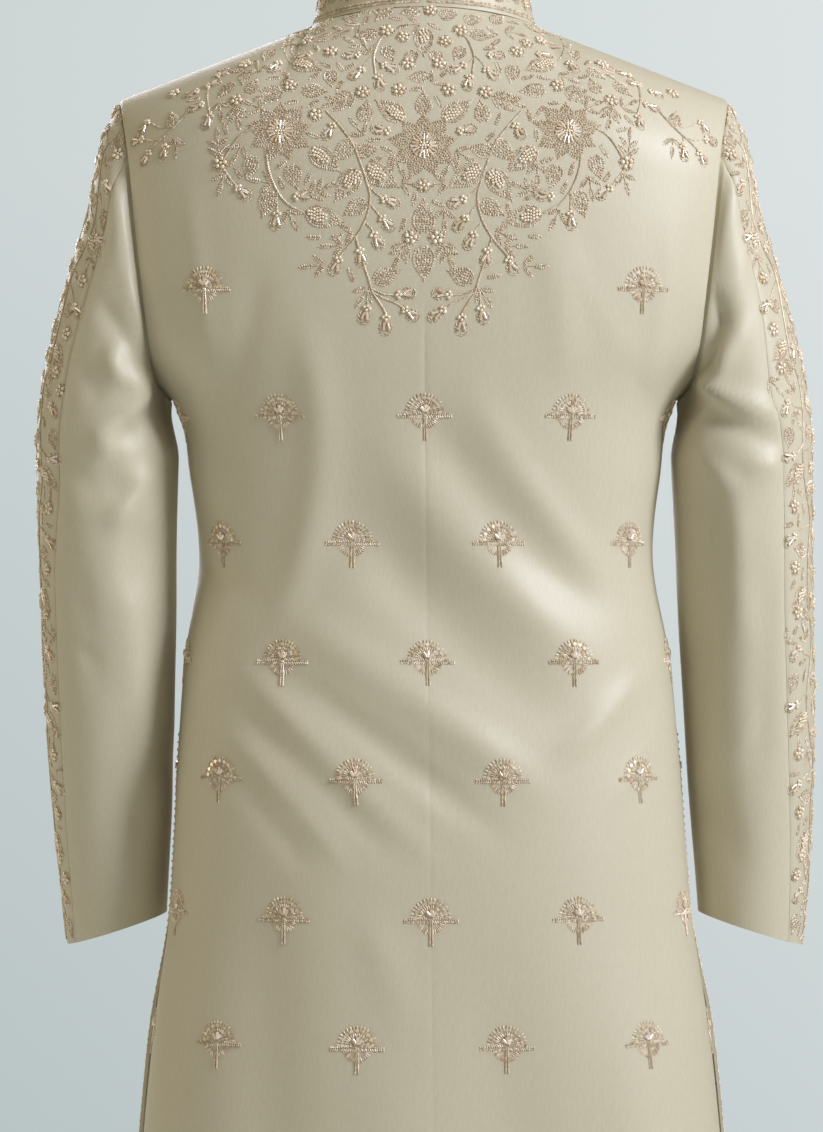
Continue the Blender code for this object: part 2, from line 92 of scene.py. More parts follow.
BUTTON_PITCH = 0.085
BUTTON_RADIUS = 0.008
BUTTON_RISE = 0.0055
BUTTON_SEAT = 0.0009
BUTTON_SIDES = 28

# Fine grid of the visible cloth
LOWER_HEIGHTS = np.concatenate(
    [
        np.linspace(HEM_HEIGHT, -0.70, 25, endpoint=False),
        np.linspace(-0.70, UNDERARM_HEIGHT, 74, endpoint=False),
    ]
)
LOWER_ROWS = len(LOWER_HEIGHTS)
ARMHOLE_ROWS = 40
HEAD_ROWS = 44
ARM_ROWS = 72
COLUMN_STEPS = 56
NEAR_CENTRE = (0.0012, 0.0035, 0.008)
NEAR_EDGE = (0.986, 0.9925, 0.9975, 1.0)
COLLAR_COLUMNS = 25
COLLAR_ROWS = 13
FRONT_STRIP = (-LAP, -0.0165, -0.012, -0.006, 0.0, 0.007, 0.014, 0.021, 0.026)
SEAM_DIP = 0.0009
SEAM_DIP_WIDTH = 0.0018
ARMHOLE_DIP = 0.0030
SLEEVE_DIP = 0.0011
CENTRE_SEAM_TOP = 0.215
CENTRE_SEAM_DIP = 0.0004
CENTRE_SEAM_LOW = 0.00016
ARMHOLE_STEP = 0.0001


def rows_of(kind, *rows):
    """A table with named columns."""
    return tuple(kind(*row) for row in rows)


def cut_to(kind, *rows):
    """A table in millimetres with named columns, turned to metres but for its turns in degrees."""
    turns = [name.startswith("turn") for name in kind._fields]
    table = []
    for row in rows:
        table.append(kind(*(v if turn else round(v / 1000, 7) for v, turn in zip(row, turns))))
    return tuple(table)


Section = namedtuple("Section", "height half_width back front")
BODY = cut_to(
    Section,
    (-1070, 233, 150, 150), (-950, 227, 146, 147), (-842, 219.5, 141, 143), (-760, 211, 136, 139),
    (-680, 199.5, 130, 134), (-613, 194.5, 124, 130), (-555, 191, 117, 127), (-479, 184.5, 106, 124),
    (-403, 173, 99, 123), (-345, 179, 104, 127), (-285, 192, 112, 130), (-250, 220, 116, 129),
    (-217, 235, 118, 126), (-160, 244, 118, 117), (-100, 248, 113, 106), (-56, 254, 110, 100),
    (10, 256, 108, 96),
)

Armhole = namedtuple("Armhole", "height back front")
ARMHOLE = cut_to(
    Armhole,
    (-285, 192, 192), (-267, 204, 199), (-250, 207, 198.5), (-217, 211, 198.5), (-160, 218, 202),
    (-100, 225, 213), (-56, 233, 233),
)

Arm = namedtuple("Arm", "height inner outer centre_y half_depth")
ARM = cut_to(
    Arm,
    (-690, 203.5, 280.5, -36, 47), (-610, 198.5, 288, -27, 51), (-575, 196.5, 290.5, -22, 53),
    (-500, 193.5, 293.5, -12, 57), (-450, 191.5, 294, -6, 59), (-400, 190.5, 295, -2, 62),
    (-330, 188, 296, 0, 66),
)

Seam = namedtuple("Seam", "along left_back left_front right_back right_front")
SLEEVE_SEAMS = rows_of(
    Seam,
    (0.00, 54.0, -108.0, 54.0, -108.0), (0.10, 51.0, -110.0, 54.0, -108.0),
    (0.18, 50.0, -112.0, 58.0, -108.0), (0.25, 50.0, -112.0, 66.0, -108.0),
    (0.29, 51.0, -113.0, 67.0, -107.0), (0.33, 51.0, -114.0, 60.0, -107.0),
    (0.40, 51.0, -115.0, 59.0, -107.0), (0.50, 43.0, -116.0, 59.0, -106.0),
    (0.70, 42.0, -117.0, 59.0, -105.0), (1.00, 37.0, -118.0, 48.0, -104.0),
)

# Folds on the panels: the line that each follows, how far its middle bows aside, its width and its height,
# all in millimetres
Fold = namedtuple("Fold", "x0 z0 x1 z1 bow width height")
FOLDS = {
    "back": cut_to(
        Fold,
        (-30, -275, -136, -426, 6, 13, 3), (4, -289, -128, -442, 10, 15, -3),
        (30, -318, -122, -482, 10, 19, 5), (60, -361, -106, -530, 12, 24, -6),
        (100, -448, -84, -578, -1, 16, 5.2), (113, -486, -56, -612, -1, 11, -4.2),
        (141, -485, -1, -626, 0, 8, 2.6), (150, -511, 31, -623, -2, 7, -2.2),
        (150, -535, 60, -635, -3, 6, 2), (153, -558, 89, -635, 0, 8, -1.8),
        (88, -235, 110, -450, -20, 15, 4.6), (122, -187, 151, -289, -5, 12, -1.8),
        (-88, -157, -105, -275, -4, 14, 2), (-105, -169, -170, -281, 5, 7, 1.8),
        (-111, -182, -173, -297, 1, 6, -1.2), (-169, -485, -94, -556, -1, 10, 2.6),
        (-177, -524, -136, -593, 1, 7, 1.2), (176, -130, 158, -262, 0, 8, 1.4),
        (-186, -150, -168, -280, 0, 8, 1.3), (190, -400, 120, -440, 0, 12, -1.8),
        (48, -666, 15, -752, 0, 14, 2.2), (-40, -690, -85, -1070, 0, 34, -5),
        (128, -600, 118, -1070, 0, 30, -4), (30, -760, 24, -1070, 0, 30, 4),
        (-150, -720, -162, -1070, 0, 30, 4),
    ),
    "front": cut_to(
        Fold,
        (20, -350, 120, -470, 0, 24, -4), (-30, -370, -130, -500, 0, 22, -4.5),
        (150, -420, 40, -560, 0, 22, 4), (-150, -450, -45, -600, 0, 22, 3.5),
        (160, -200, 120, -330, 0, 18, -3), (-160, -210, -110, -320, 0, 18, -3),
        (105, -640, 120, -1070, 0, 32, 4.5), (-110, -660, -120, -1070, 0, 30, -4.5),
        (60, -700, 56, -1070, 0, 30, -4), (-60, -730, -62, -1070, 0, 30, 4),
        (170, -380, 110, -430, 4, 12, -2.4), (172, -410, 90, -480, 4, 9, 2),
        (-170, -390, -105, -425, -4, 12, -2.4), (-176, -420, -70, -500, -4, 10, 2.4),
        (90, -130, 110, -240, 0, 12, 1.6), (-85, -140, -115, -235, 0, 12, 1.4),
    ),
}

# Creases round the sleeves, at turns in degrees: 0 is the arm's outer side and 90 its back
Crease = namedtuple("Crease", "turn0 z0 turn1 z1 bow width height")
CREASES = {
    "left": cut_to(
        Crease,
        (62, -211, 127, -261, 0, 8, -3.2), (83, -191, 128, -245, 0, 9, 2.6),
        (86, -245, 105, -277, -3, 7, 4.5), (105, -277, 148, -266, 0, 8, 3.5),
        (142, -275, 87, -313, 0, 8, 5), (82, -304, 96, -330, 0, 8, 4),
        (140, -292, 101, -316, 0, 12, -4.5), (62, -257, 86, -289, 0, 8, -2.5),
        (134, -336, 97, -386, -2, 10, 4.5), (132, -375, 113, -437, 0, 14, -4),
        (57, -330, 95, -364, 0, 12, -2.6), (91, -335, 109, -364, 0, 10, -2.6),
        (47, -459, 88, -487, 0, 5, -1.4), (177, -544, 91, -611, 0, 22, -4.5),
        (104, -409, 136, -588, 0, 16, 3), (65, -409, 84, -510, 0, 12, -2),
        (20, -300, 44, -345, 0, 9, 2.2), (-30, -360, -80, -395, 0, 14, -4),
        (-40, -420, -96, -398, 0, 14, -3.5), (-36, -300, -100, -340, 0, 12, 3.5),
        (-60, -560, -104, -600, 0, 14, -2.5),
    ),
    "right": cut_to(
        Crease,
        (143, -265, 90, -214, 0, 13, -9), (117, -269, 79, -228, 0, 8, 4),
        (148, -266, 61, -303, 3, 10, 7.2), (148, -287, 60, -318, 0, 13, -7),
        (94, -336, 62, -336, 0, 10, 2.2), (140, -317, 99, -358, 0, 9, 3),
        (99, -353, 100, -465, 0, 10, 3.4), (132, -341, 146, -588, 0, 24, -4.5),
        (109, -544, 85, -521, 0, 5, 1.6), (75, -409, 88, -572, 0, 11, -2.2),
        (151, -572, 103, -648, 0, 20, -3.5), (51, -160, 86, -213, 0, 10, 2),
        (-28, -350, -84, -388, 0, 14, -4), (-44, -425, -92, -402, 0, 14, -3.5),
        (-36, -290, -100, -330, 0, 12, 3.5), (-60, -570, -104, -610, 0, 14, -2.5),
    ),
}


# --- the coat's surface ----------------------------------------------------------------------


def ease(low, high, value):
    """Smooth step from 0 at low to 1 at high."""
    t = np.clip((value - low) / (high - low), 0.0, 1.0)
    return t * t * (3.0 - 2.0 * t)


def along(table, name, at):
    """A column of a table read at any place of its first column, on a smooth curve."""
    places = np.array([row[0] for row in table])
    values = np.array([getattr(row, name) for row in table])
    slopes = np.gradient(values, places)
    at = np.clip(np.asarray(at, float), places[0], places[-1])
    left = np.clip(np.searchsorted(places, at) - 1, 0, len(places) - 2)
    span = places[left + 1] - places[left]
    t = (at - places[left]) / span
    rise = (3.0 - 2.0 * t) * t * t
    bend = (1.0 - t) ** 2 * t * slopes[left] - t * t * (1.0 - t) * slopes[left + 1]
    return (1.0 - rise) * values[left] + rise * values[left + 1] + span * bend


def point_on(line, places, at):
    """The point at a place on a line of points."""
    return np.array([np.interp(at, places, line[:, axis]) for axis in range(3)])


def run_along(line):
    """Distances along a line of points from its first."""
    return np.concatenate([[0.0], np.cumsum(np.linalg.norm(np.diff(line, axis=0), axis=-1))])


def unit(vectors):
    return vectors / np.maximum(np.linalg.norm(vectors, axis=-1, keepdims=True), 1e-12)


def placed(skin, side):
    """Points on their own side of the coat, with the hips' sway."""
    moved = skin * np.array([side, 1.0, 1.0])
    moved[..., 0] += SWAY * ease(-SWAY_TOP, -SWAY_BOTTOM, -moved[..., 2])
    return moved


def column_top(panel, u):
    """Where a column ends: on the neckline near the centre, on the shoulder seam beyond."""
    turn = min(u / NECK_SHARE, 1.0) * math.pi / 2
    out = max((u - NECK_SHARE) / (1.0 - NECK_SHARE), 0.0) * (SHOULDER_TIP_X - NECK_HALF_WIDTH)
    y = 0.0 if u >= NECK_SHARE else NECK_DEPTH[panel] * math.cos(turn)
    z = NECK_RISE[panel] * math.cos(turn) ** 2 - SHOULDER_SLOPE * out
    return NECK_HALF_WIDTH * math.sin(turn) + out, y, z


def panel_column(panel, u, fixed_x=None):
    """Points up one column of the left half of a panel, before its folds."""
    low = LOWER_HEIGHTS
    open_turn = SLIT_TURN[panel] * ease(0.0, SLIT_TOP - HEM_HEIGHT, SLIT_TOP - low) ** 0.5
    turn = u * (math.pi / 2 - open_turn)
    flare = SLIT_FLARE[panel] * u**4 * ease(0.0, 0.10, SLIT_TOP - low)
    x_low = along(BODY, "half_width", low) * np.sin(turn) ** (2 / SQUARENESS) + flare
    y_low = along(BODY, panel, low) * np.maximum(np.cos(turn), 0.0) ** (2 / SQUARENESS)

    q = np.linspace(0.0, 1.0, ARMHOLE_ROWS + 1)
    top_x, top_y, top_z = column_top(panel, u)
    edge_rise = (1.0 - np.cos(math.pi * q)) / 2
    rise = (1.0 - u * u) * (1.0 - (1.0 - q) ** 1.8) + u * u * edge_rise
    high = UNDERARM_HEIGHT + (top_z - UNDERARM_HEIGHT) * rise
    tip_z = -SHOULDER_SLOPE * (SHOULDER_TIP_X - NECK_HALF_WIDTH)
    edge_x = along(ARMHOLE, panel, UNDERARM_HEIGHT + (tip_z - UNDERARM_HEIGHT) * edge_rise)
    spread = ease(0.15, 1.0, q)
    low_share = math.sin(u * math.pi / 2) ** (2 / SQUARENESS)
    x_high = edge_x * ((1.0 - spread) * low_share + spread * top_x / SHOULDER_TIP_X)
    full = np.clip(1.0 - (x_high / along(BODY, "half_width", high)) ** SQUARENESS, 0.0, 1.0)
    full = along(BODY, panel, high) * full ** (1 / SQUARENESS)
    roll = ROLL_AT_NECK[panel] + (ROLL_AT_TIP - ROLL_AT_NECK[panel]) * u
    t = np.clip((top_z - high) / roll, 0.0, 1.0)
    near_neck = 1.0 - ease(0.03, 0.12, top_x)
    bend = near_neck * np.sin(t * math.pi / 2) + (1 - near_neck) * np.sqrt(1 - (1 - t) ** 2)
    y_high = top_y * (1.0 - bend) + full * bend

    x = np.concatenate([x_low, x_high])
    y = np.concatenate([y_low, y_high])
    z = np.concatenate([low, high])
    if fixed_x is not None:
        share = (abs(fixed_x) / along(BODY, "half_width", z)) ** SQUARENESS
        x = np.full_like(x, fixed_x)
        y = y * (1.0 - share) ** (1 / SQUARENESS)
        if fixed_x > 0:
            neck_curve = NECK_RISE[panel] * (fixed_x / NECK_HALF_WIDTH) ** 2
            z = z - neck_curve * np.clip(1.0 - (top_z - z) / NECK_CURVE_REACH, 0.0, 1.0)
    facing = -1.0 if panel == "front" else 1.0
    return np.stack([x, facing * y, z], axis=-1)


def grid_normals(points, closed=False):
    """Vertex normals of a grid of points, each the sum of its faces' normals."""
    normals = np.zeros_like(points)
    right = np.roll(points, -1, axis=1) if closed else points[:, 1:]
    left = points if closed else points[:, :-1]
    faces = np.cross(right[:-1] - left[1:], right[1:] - left[:-1])
    columns = faces.shape[1]
    for row in (0, 1):
        normals[row : row + len(faces), :columns] += faces
        if closed:
            normals[row : row + len(faces)] += np.roll(faces, 1, axis=1)
        else:
            normals[row : row + len(faces), 1 : columns + 1] += faces
    return unit(normals)


def fold_height(table, kind, across, up, scale=1.0):
    """Height of the folds of one panel or arm at places given across and up it."""
    total = np.zeros_like(up)
    for a0, z0, a1, z1, bow, width, height in table[kind]:
        run = np.array([(a1 - a0) * scale, z1 - z0])
        length = math.hypot(*run)
        rel_a = (across - a0) * scale
        rel_z = up - z0
        s = (rel_a * run[0] + rel_z * run[1]) / length**2
        off = (rel_a * run[1] - rel_z * run[0]) / length
        off = off + bow * 4.0 * s * (1.0 - s)
        taper = ease(-0.12, 0.30, s) * ease(-0.12, 0.30, 1.0 - s)
        uneven = 1.0 + 0.16 * np.sin(7.0 * s + 90.0 * a0)
        total = total + height * taper * uneven * np.exp(-((off / width) ** 2))
    return total


def beside(points, edge):
    """How much of a seam's dip each point takes, from its distance to the seam's edge."""
    away = np.linalg.norm(points - edge, axis=-1)
    return np.exp(-((away / SEAM_DIP_WIDTH) ** 2))


# Panels and sleeves shaped so far
PANELS = {}
SLEEVES = {}


def make_panel(panel, side):
    """The outer skin of one half panel, its normals and its armhole and neck edges."""
    even = [k / COLUMN_STEPS for k in range(1 if panel == "back" else 4, COLUMN_STEPS)]
    columns = [(0.0, x) for x in FRONT_STRIP] if panel == "front" else [(0.0, None)]
    columns += [(u, None) for u in ([*NEAR_CENTRE, *even] if panel == "back" else even)]
    columns += [(u, None) for u in NEAR_EDGE]
    base = np.stack([panel_column(panel, u, x) for u, x in columns], axis=1)
    facing = -1.0 if panel == "front" else 1.0
    centre = FRONT_STRIP.index(0.0) if panel == "front" else 0
    neck = next(i for i, (u, _) in enumerate(columns) if u >= NECK_SHARE - 1e-9)
    normals = grid_normals(base)
    if normals[0, centre, 1] * facing < 0:
        normals = -normals
    if panel == "back":
        normals[:, 0, 0] = 0.0
    normals[-1, neck:, 1] = 0.0
    normals[: LOWER_ROWS + 1, -1, 1] = 0.0
    normals = unit(normals)
    quiet = ease(0.0, SEAM_QUIET, np.abs(base[..., 1]))
    if panel == "front":
        quiet = quiet * ease(LAP, LAP + SEAM_QUIET, np.abs(base[..., 0]))
    height = quiet * fold_height(FOLDS, panel, side * base[..., 0], base[..., 2])
    below = base[..., 2] < SLIT_TOP
    deep = SEAM_DIP + (ARMHOLE_DIP - SEAM_DIP) * ease(0.0, 0.03, base[..., 2] - UNDERARM_HEIGHT)
    height -= np.where(below, 0.0, deep * beside(base, base[:, -1:]))
    height[LOWER_ROWS:] -= 0.5 * SEAM_DIP * beside(base[LOWER_ROWS:], base[-1:])
    if panel == "back":
        seen = ease(CENTRE_SEAM_TOP, CENTRE_SEAM_TOP + 0.03, -base[..., 2])
        faint = ease(0.30, 0.40, -base[..., 2])
        deep = CENTRE_SEAM_DIP + (CENTRE_SEAM_LOW - CENTRE_SEAM_DIP) * faint
        height -= deep * seen * beside(base, base[:, :1])
    elif side < 0:
        under = 1.0 - ease(JOGGLE_START, JOGGLE_END, base[..., 0])
        height -= (WALL + LAP_GAP) * under
    outer = base + normals * height[..., None]
    found = {
        "outer": outer.copy(),
        "normals": normals,
        "edge": base[LOWER_ROWS:, -1],
        "edge_normals": normals[LOWER_ROWS:, -1],
        "edge_outer": outer[LOWER_ROWS:, -1],
        "centre": centre,
    }
    if panel == "back":
        outer[:, 0, 0] = 0.0
    open_below = base[: LOWER_ROWS + 1, -1, 2] < SLIT_TOP
    outer[: LOWER_ROWS + 1, -1, 1] += facing * SEAM_GAP / 2 * open_below
    outer[-1, neck:, 1] = 0.0
    found["skin"] = placed(outer, side)
    return found


def panel_of(panel, side):
    if (panel, side) not in PANELS:
        PANELS[panel, side] = make_panel(panel, side)
    return PANELS[panel, side]


def armhole_loop(side):
    """The armhole from the shoulder tip round the back: points and the way out of the coat."""
    back = panel_of("back", side)
    front = panel_of("front", side)
    loop = np.concatenate([back["edge"][::-1], front["edge"][1:-1]])
    loop[0, 1] = 0.0
    loop[ARMHOLE_ROWS, 1] = 0.0
    normals = unit(np.concatenate([back["edge_normals"][::-1], front["edge_normals"][1:-1]]))
    run = unit(np.roll(loop, -1, axis=0) - np.roll(loop, 1, axis=0))
    out = unit(np.cross(run, normals))
    return loop, out if out[0, 0] > 0 else -out


def round_loop(values, turns):
    """Values given round the armhole, read at any turns."""
    place = (turns / (math.pi / ARMHOLE_ROWS)) % len(values)
    low = np.floor(place).astype(int) % len(values)
    part = (place - np.floor(place))[:, None]
    return values[low] * (1.0 - part) + values[(low + 1) % len(values)] * part


TOP_SHARES = np.array([0, 0.008, 0.02, 0.04, *np.linspace(0.07, 0.93, 23), 0.96, 0.98, 0.992, 1.0])
UNDER_SHARES = np.array([0, 0.006, 0.016, 0.03, *np.linspace(0.06, 0.94, 31), 0.97, 0.984, 0.994, 1.0])


def sleeve_turns(arm, share):
    seam_back = float(along(SLEEVE_SEAMS, arm + "_back", share))
    seam_front = float(along(SLEEVE_SEAMS, arm + "_front", share))
    top = seam_front + (seam_back - seam_front) * TOP_SHARES
    under = seam_back + (seam_front + 360.0 - seam_back) * UNDER_SHARES
    return np.radians(np.concatenate([top[:-1], under[:-1]]))


def arm_ring(arm, turns, height):
    """A level section of the arm, slanted near the cuff and swung out a little down its length."""
    swing = ARM_SWING[arm] * ease(-ARM[-1].height, -ARM[0].height, -height)
    inner = along(ARM, "inner", height) + swing / 2
    outer = along(ARM, "outer", height) + swing
    x = (inner + outer) / 2 + (outer - inner) / 2 * np.cos(turns)
    y = along(ARM, "centre_y", height) + along(ARM, "half_depth", height) * np.sin(turns)
    slant = CUFF_SLANT * ease(-SLANT_START, -ARM[0].height, -height)
    return np.stack([x, y, height + slant * (x - (inner + outer) / 2)], axis=-1)


def make_sleeve(arm):
    """The whole tube of a sleeve, rows from the armhole down, columns round it from the front seam."""
    side = 1.0 if arm == "left" else -1.0
    loop, loop_out = armhole_loop(side)
    head = (np.arange(HEAD_ROWS) / HEAD_ROWS) ** 1.3
    down = np.arange(ARM_ROWS + 1) / ARM_ROWS
    down = down * (0.35 + 0.65 * down)
    shares = np.concatenate([head * HEAD_SHARE, HEAD_SHARE + (1.0 - HEAD_SHARE) * down])
    first = ARM[-1].height
    heights = first + (ARM[0].height - first) * down
    rows = []
    all_turns = np.stack([sleeve_turns(arm, share) for share in shares])
    start = round_loop(loop, all_turns[0])
    for i, turns in enumerate(all_turns):
        if i >= HEAD_ROWS:
            rows.append(arm_ring(arm, turns, heights[i - HEAD_ROWS]))
            continue
        s = head[i]
        end = arm_ring(arm, turns, first)
        below = arm_ring(arm, turns, first - 0.01)
        leave = np.stack(
            [0.032 + 0.018 * np.cos(turns), 0.030 * np.sin(turns), -0.1475 - 0.1025 * np.cos(turns)],
            axis=-1,
        )
        arrive = (below - end) / 0.01 * np.maximum(start[:, 2] - first, 0.045)[:, None]
        rows.append(
            (2 * s**3 - 3 * s**2 + 1) * start
            + (s**3 - 2 * s**2 + s) * leave
            + (3 * s**2 - 2 * s**3) * end
            + (s**3 - s**2) * arrive
        )
    tube = np.stack(rows)
    normals = grid_normals(tube, closed=True)
    middle = tube[HEAD_ROWS].mean(axis=0)
    if normals[HEAD_ROWS, 0] @ (tube[HEAD_ROWS, 0] - middle) < 0:
        normals = -normals
    share = shares[:, None]
    rope = ROPE_RISE * np.exp(-(((share - ROPE_AT) / ROPE_WIDTH) ** 2)) * ease(0.0, 0.04, share)
    rope = rope * ease(-0.2, 0.7, np.cos(all_turns))
    degrees = np.degrees(all_turns)
    degrees = np.where(degrees > 200.0, degrees - 360.0, degrees)
    creases = fold_height(CREASES, arm, degrees, tube[..., 2], scale=0.001)
    creases = creases * ease(0.0, 0.05, share)
    split = len(TOP_SHARES) - 1
    for column in (0, split):
        creases = creases - SLEEVE_DIP * beside(tube, tube[:, column : column + 1])
    outer = tube + normals * (rope + creases - ARMHOLE_DIP * beside(tube, tube[:1]))[..., None]
    edge = np.concatenate(
        [panel_of("back", side)["edge_outer"][::-1], panel_of("front", side)["edge_outer"][1:-1]]
    )
    outer[0] = round_loop(edge, all_turns[0]) + ARMHOLE_STEP * round_loop(loop_out, all_turns[0])
    return {"skin": placed(outer, side), "split": split, "shares": shares}


def sleeve_of(arm):
    if arm not in SLEEVES:
        SLEEVES[arm] = make_sleeve(arm)
    return SLEEVES[arm]


def sleeve_piece(arm, piece):
    """The grid of one sleeve piece, its edges drawn back by the seam's gap."""
    sleeve = sleeve_of(arm)
    skin, split = sleeve["skin"], sleeve["split"]
    count = skin.shape[1]
    first, last = (0, split) if piece == "top" else (split, count)
    grid = np.stack([skin[:, k % count] for k in range(first, last + 1)], axis=1)
    for edge, inside in ((0, 1), (-1, -2)):
        grid[:, edge] += unit(grid[:, inside] - grid[:, edge]) * SEAM_GAP / 2
    return grid


def collar_grid():
    """The stand collar's outer skin, from centre front round the back to centre front."""
    turns = np.linspace(0.0, math.pi / 2, COLLAR_COLUMNS)
    quarter = {}
    for panel in ("front", "back"):
        facing = -1.0 if panel == "front" else 1.0
        quarter[panel] = np.stack(
            [
                NECK_HALF_WIDTH * np.sin(turns),
                facing * NECK_DEPTH[panel] * np.cos(turns),
                NECK_RISE[panel] * np.cos(turns) ** 2,
            ],
            axis=-1,
        )
    half = np.concatenate([quarter["front"][:-1], quarter["back"][::-1]])
    half[0, 0] = SEAM_GAP * 5
    base = np.concatenate([half, half[:-1][::-1] * np.array([-1.0, 1.0, 1.0])])
    rows = []
    for share in np.linspace(0.0, 1.0, COLLAR_ROWS):
        taper = 1.0 - (1.0 - COLLAR_TAPER) * share**0.8
        ring = base * np.array([taper, taper, 1.0])
        ring[:, 2] += SEAM_GAP + COLLAR_HEIGHT * share
        ring[0, 0], ring[-1, 0] = half[0, 0], -half[0, 0]
        rows.append(ring)
    return placed(np.stack(rows), 1.0)


# --- making and naming ----------------------------------------------------------------------


def colour_from_hex(code):
    """A linear colour from an sRGB hex code such as b5ae97."""
    channels = [int(code[i : i + 2], 16) / 255 for i in (0, 2, 4)]
    return tuple(c / 12.92 if c <= 0.04045 else ((c + 0.055) / 1.055) ** 2.4 for c in channels) + (1.0,)


def set_inputs(node, links):
    """Sets a node's inputs to values, or links them from other sockets."""
    for name, value in links.items():
        if isinstance(value, bpy.types.NodeSocket):
            node.id_data.links.new(value, node.inputs[name])
        else:
            node.inputs[name].default_value = value


def noise(tree, vector, scale, **settings):
    """Cloudy noise laid out by a vector."""
    links = {"Vector": vector, "Scale": scale, **settings}
    return add_node(tree, "ShaderNodeTexNoise", links=links).outputs["Fac"]


def bump(tree, height, strength, distance):
    """A normal tilted by a height."""
    links = {"Height": height, "Strength": strength, "Distance": distance}
    return add_node(tree, "ShaderNodeBump", links=links).outputs["Normal"]


def mix(tree, factor, low, high):
    """A number between two others."""
    links = {"Factor": factor, "A": low, "B": high}
    return add_node(tree, "ShaderNodeMix", {"data_type": "FLOAT"}, links).outputs["Result"]


def add_node(tree, kind, settings=None, links=None):
    """A shader node with its settings, and its inputs set to values or linked from other sockets."""
    node = tree.nodes.new(kind)
    for name, value in (settings or {}).items():
        setattr(node, name, value)
    set_inputs(node, links or {})
    return node


def new_material(name):
    """An empty material with its shader and tree."""
    material = bpy.data.materials.new(name)
    material.use_nodes = True
    tree = material.node_tree
    tree.nodes.clear()
    shader = add_node(tree, "ShaderNodeBsdfPrincipled")
    output = add_node(tree, "ShaderNodeOutputMaterial")
    tree.links.new(shader.outputs["BSDF"], output.inputs["Surface"])
    return material, tree, shader


def shade_between(tree, factor, low, high):
    """A colour that runs from low to high as factor runs from 0 to 1."""
    ramp = add_node(tree, "ShaderNodeValToRGB", links={"Fac": factor})
    ramp.color_ramp.elements[0].color = low
    ramp.color_ramp.elements[1].color = high
    return ramp.outputs["Color"]


TWILL_PITCH = 0.0016
TWILL_DEPTH = 0.0004
TWILL_SLANT = math.radians(-32.0)
WARP_PITCH = 0.004
WARP_SHARE = 0.18


def satin(name, light, dark):
    """Woven polyester satin with a fine twill face: soft broad highlights, a faint slanting grain
    and long warp streaks. The twill's real 0.4 mm lines are drawn 1.6 mm apart, to show at all."""
    material, tree, shader = new_material(name)
    cloth_map = add_node(tree, "ShaderNodeUVMap", {"uv_map": "cloth"}).outputs["UV"]
    slant = {"Vector": cloth_map, "Rotation": (0.0, 0.0, TWILL_SLANT), "Scale": (1.0, 0.22, 1.0)}
    slanted = add_node(tree, "ShaderNodeMapping", links=slant)
    twill = noise(tree, slanted.outputs["Vector"], 1 / TWILL_PITCH, Detail=2.0, Roughness=0.6)
    long_way = add_node(tree, "ShaderNodeMapping", links={"Vector": cloth_map, "Scale": (1.0, 0.03, 1.0)})
    warp = noise(tree, long_way.outputs["Vector"], 1 / WARP_PITCH, Detail=3.0)
    look = {
        "Base Color": shade_between(tree, mix(tree, WARP_SHARE, twill, warp), dark, light),
        "Normal": bump(tree, twill, 0.22, TWILL_DEPTH),
        "Roughness": 0.46,
        "Specular IOR Level": 0.42,
        "Sheen Weight": 0.10,
        "Sheen Roughness": 0.45,
        "Sheen Tint": light,
    }
    set_inputs(shader, look)
    return material


CLOTH_SMOOTH = 50.0
GILT_SMOOTH = 40.0
BEAD_SMOOTH = 62.0


def smooth(degrees):
    """Smooths the selected piece's faces, but for edges sharper than this."""
    bpy.ops.object.shade_smooth_by_angle(angle=math.radians(degrees))


def select_only(piece):
    bpy.ops.object.select_all(action="DESELECT")
    piece.select_set(True)
    bpy.context.view_layer.objects.active = piece


def arc_lengths(grid):
    """Distances in metres along each row from its first column and up each column from its first row."""
    across = np.linalg.norm(np.diff(grid, axis=1), axis=-1)
    up = np.linalg.norm(np.diff(grid, axis=0), axis=-1)
    u = np.concatenate([np.zeros((len(grid), 1)), np.cumsum(across, axis=1)], axis=1)
    v = np.concatenate([np.zeros((1, grid.shape[1])), np.cumsum(up, axis=0)], axis=0)
    return u, v


def sew_wall(name, grid, inside, wall, material):
    """A wall of cloth: a grid primitive shaped to the outer skin, then thickened towards inside."""
    rows, columns, _ = grid.shape
    bpy.ops.object.select_all(action="DESELECT")
    bpy.ops.mesh.primitive_grid_add(x_subdivisions=columns - 1, y_subdivisions=rows - 1, size=1.0)
    piece = bpy.context.active_object
    piece.name = name
    mesh = piece.data
    mesh.name = name
    middle = (rows // 2, columns // 2)
    face = np.cross(
        grid[middle[0], middle[1] + 1] - grid[middle], grid[middle[0] + 1, middle[1]] - grid[middle]
    )
    if face @ (grid[middle] - np.asarray(inside)) < 0:
        grid = grid[:, ::-1]
    mesh.vertices.foreach_set("co", grid.reshape(-1).astype(np.float32))
    u, v = arc_lengths(grid)
    corners = np.empty(len(mesh.loops), np.int32)
    mesh.loops.foreach_get("vertex_index", corners)
    cloth_map = mesh.uv_layers[0]
    cloth_map.name = "cloth"
    places = np.stack([u.reshape(-1), v.reshape(-1)], axis=-1)[corners]
    cloth_map.uv.foreach_set("vector", places.reshape(-1).astype(np.float32))
    mesh.update()
    mesh.materials.append(material)
    bpy.ops.object.modifier_add(type="SOLIDIFY")
    solidify = piece.modifiers[-1]
    solidify.thickness = wall
    solidify.offset = -1.0
    solidify.use_even_offset = False
    bpy.ops.object.modifier_apply(modifier=solidify.name)
    smooth(CLOTH_SMOOTH)
    return piece


def declare(piece, slot, *nodes):
    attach(piece, "root")
    if nodes:
        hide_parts(*nodes)


# Flat size of each cut: width, length and area in metres
Cut = namedtuple("Cut", "width length area")


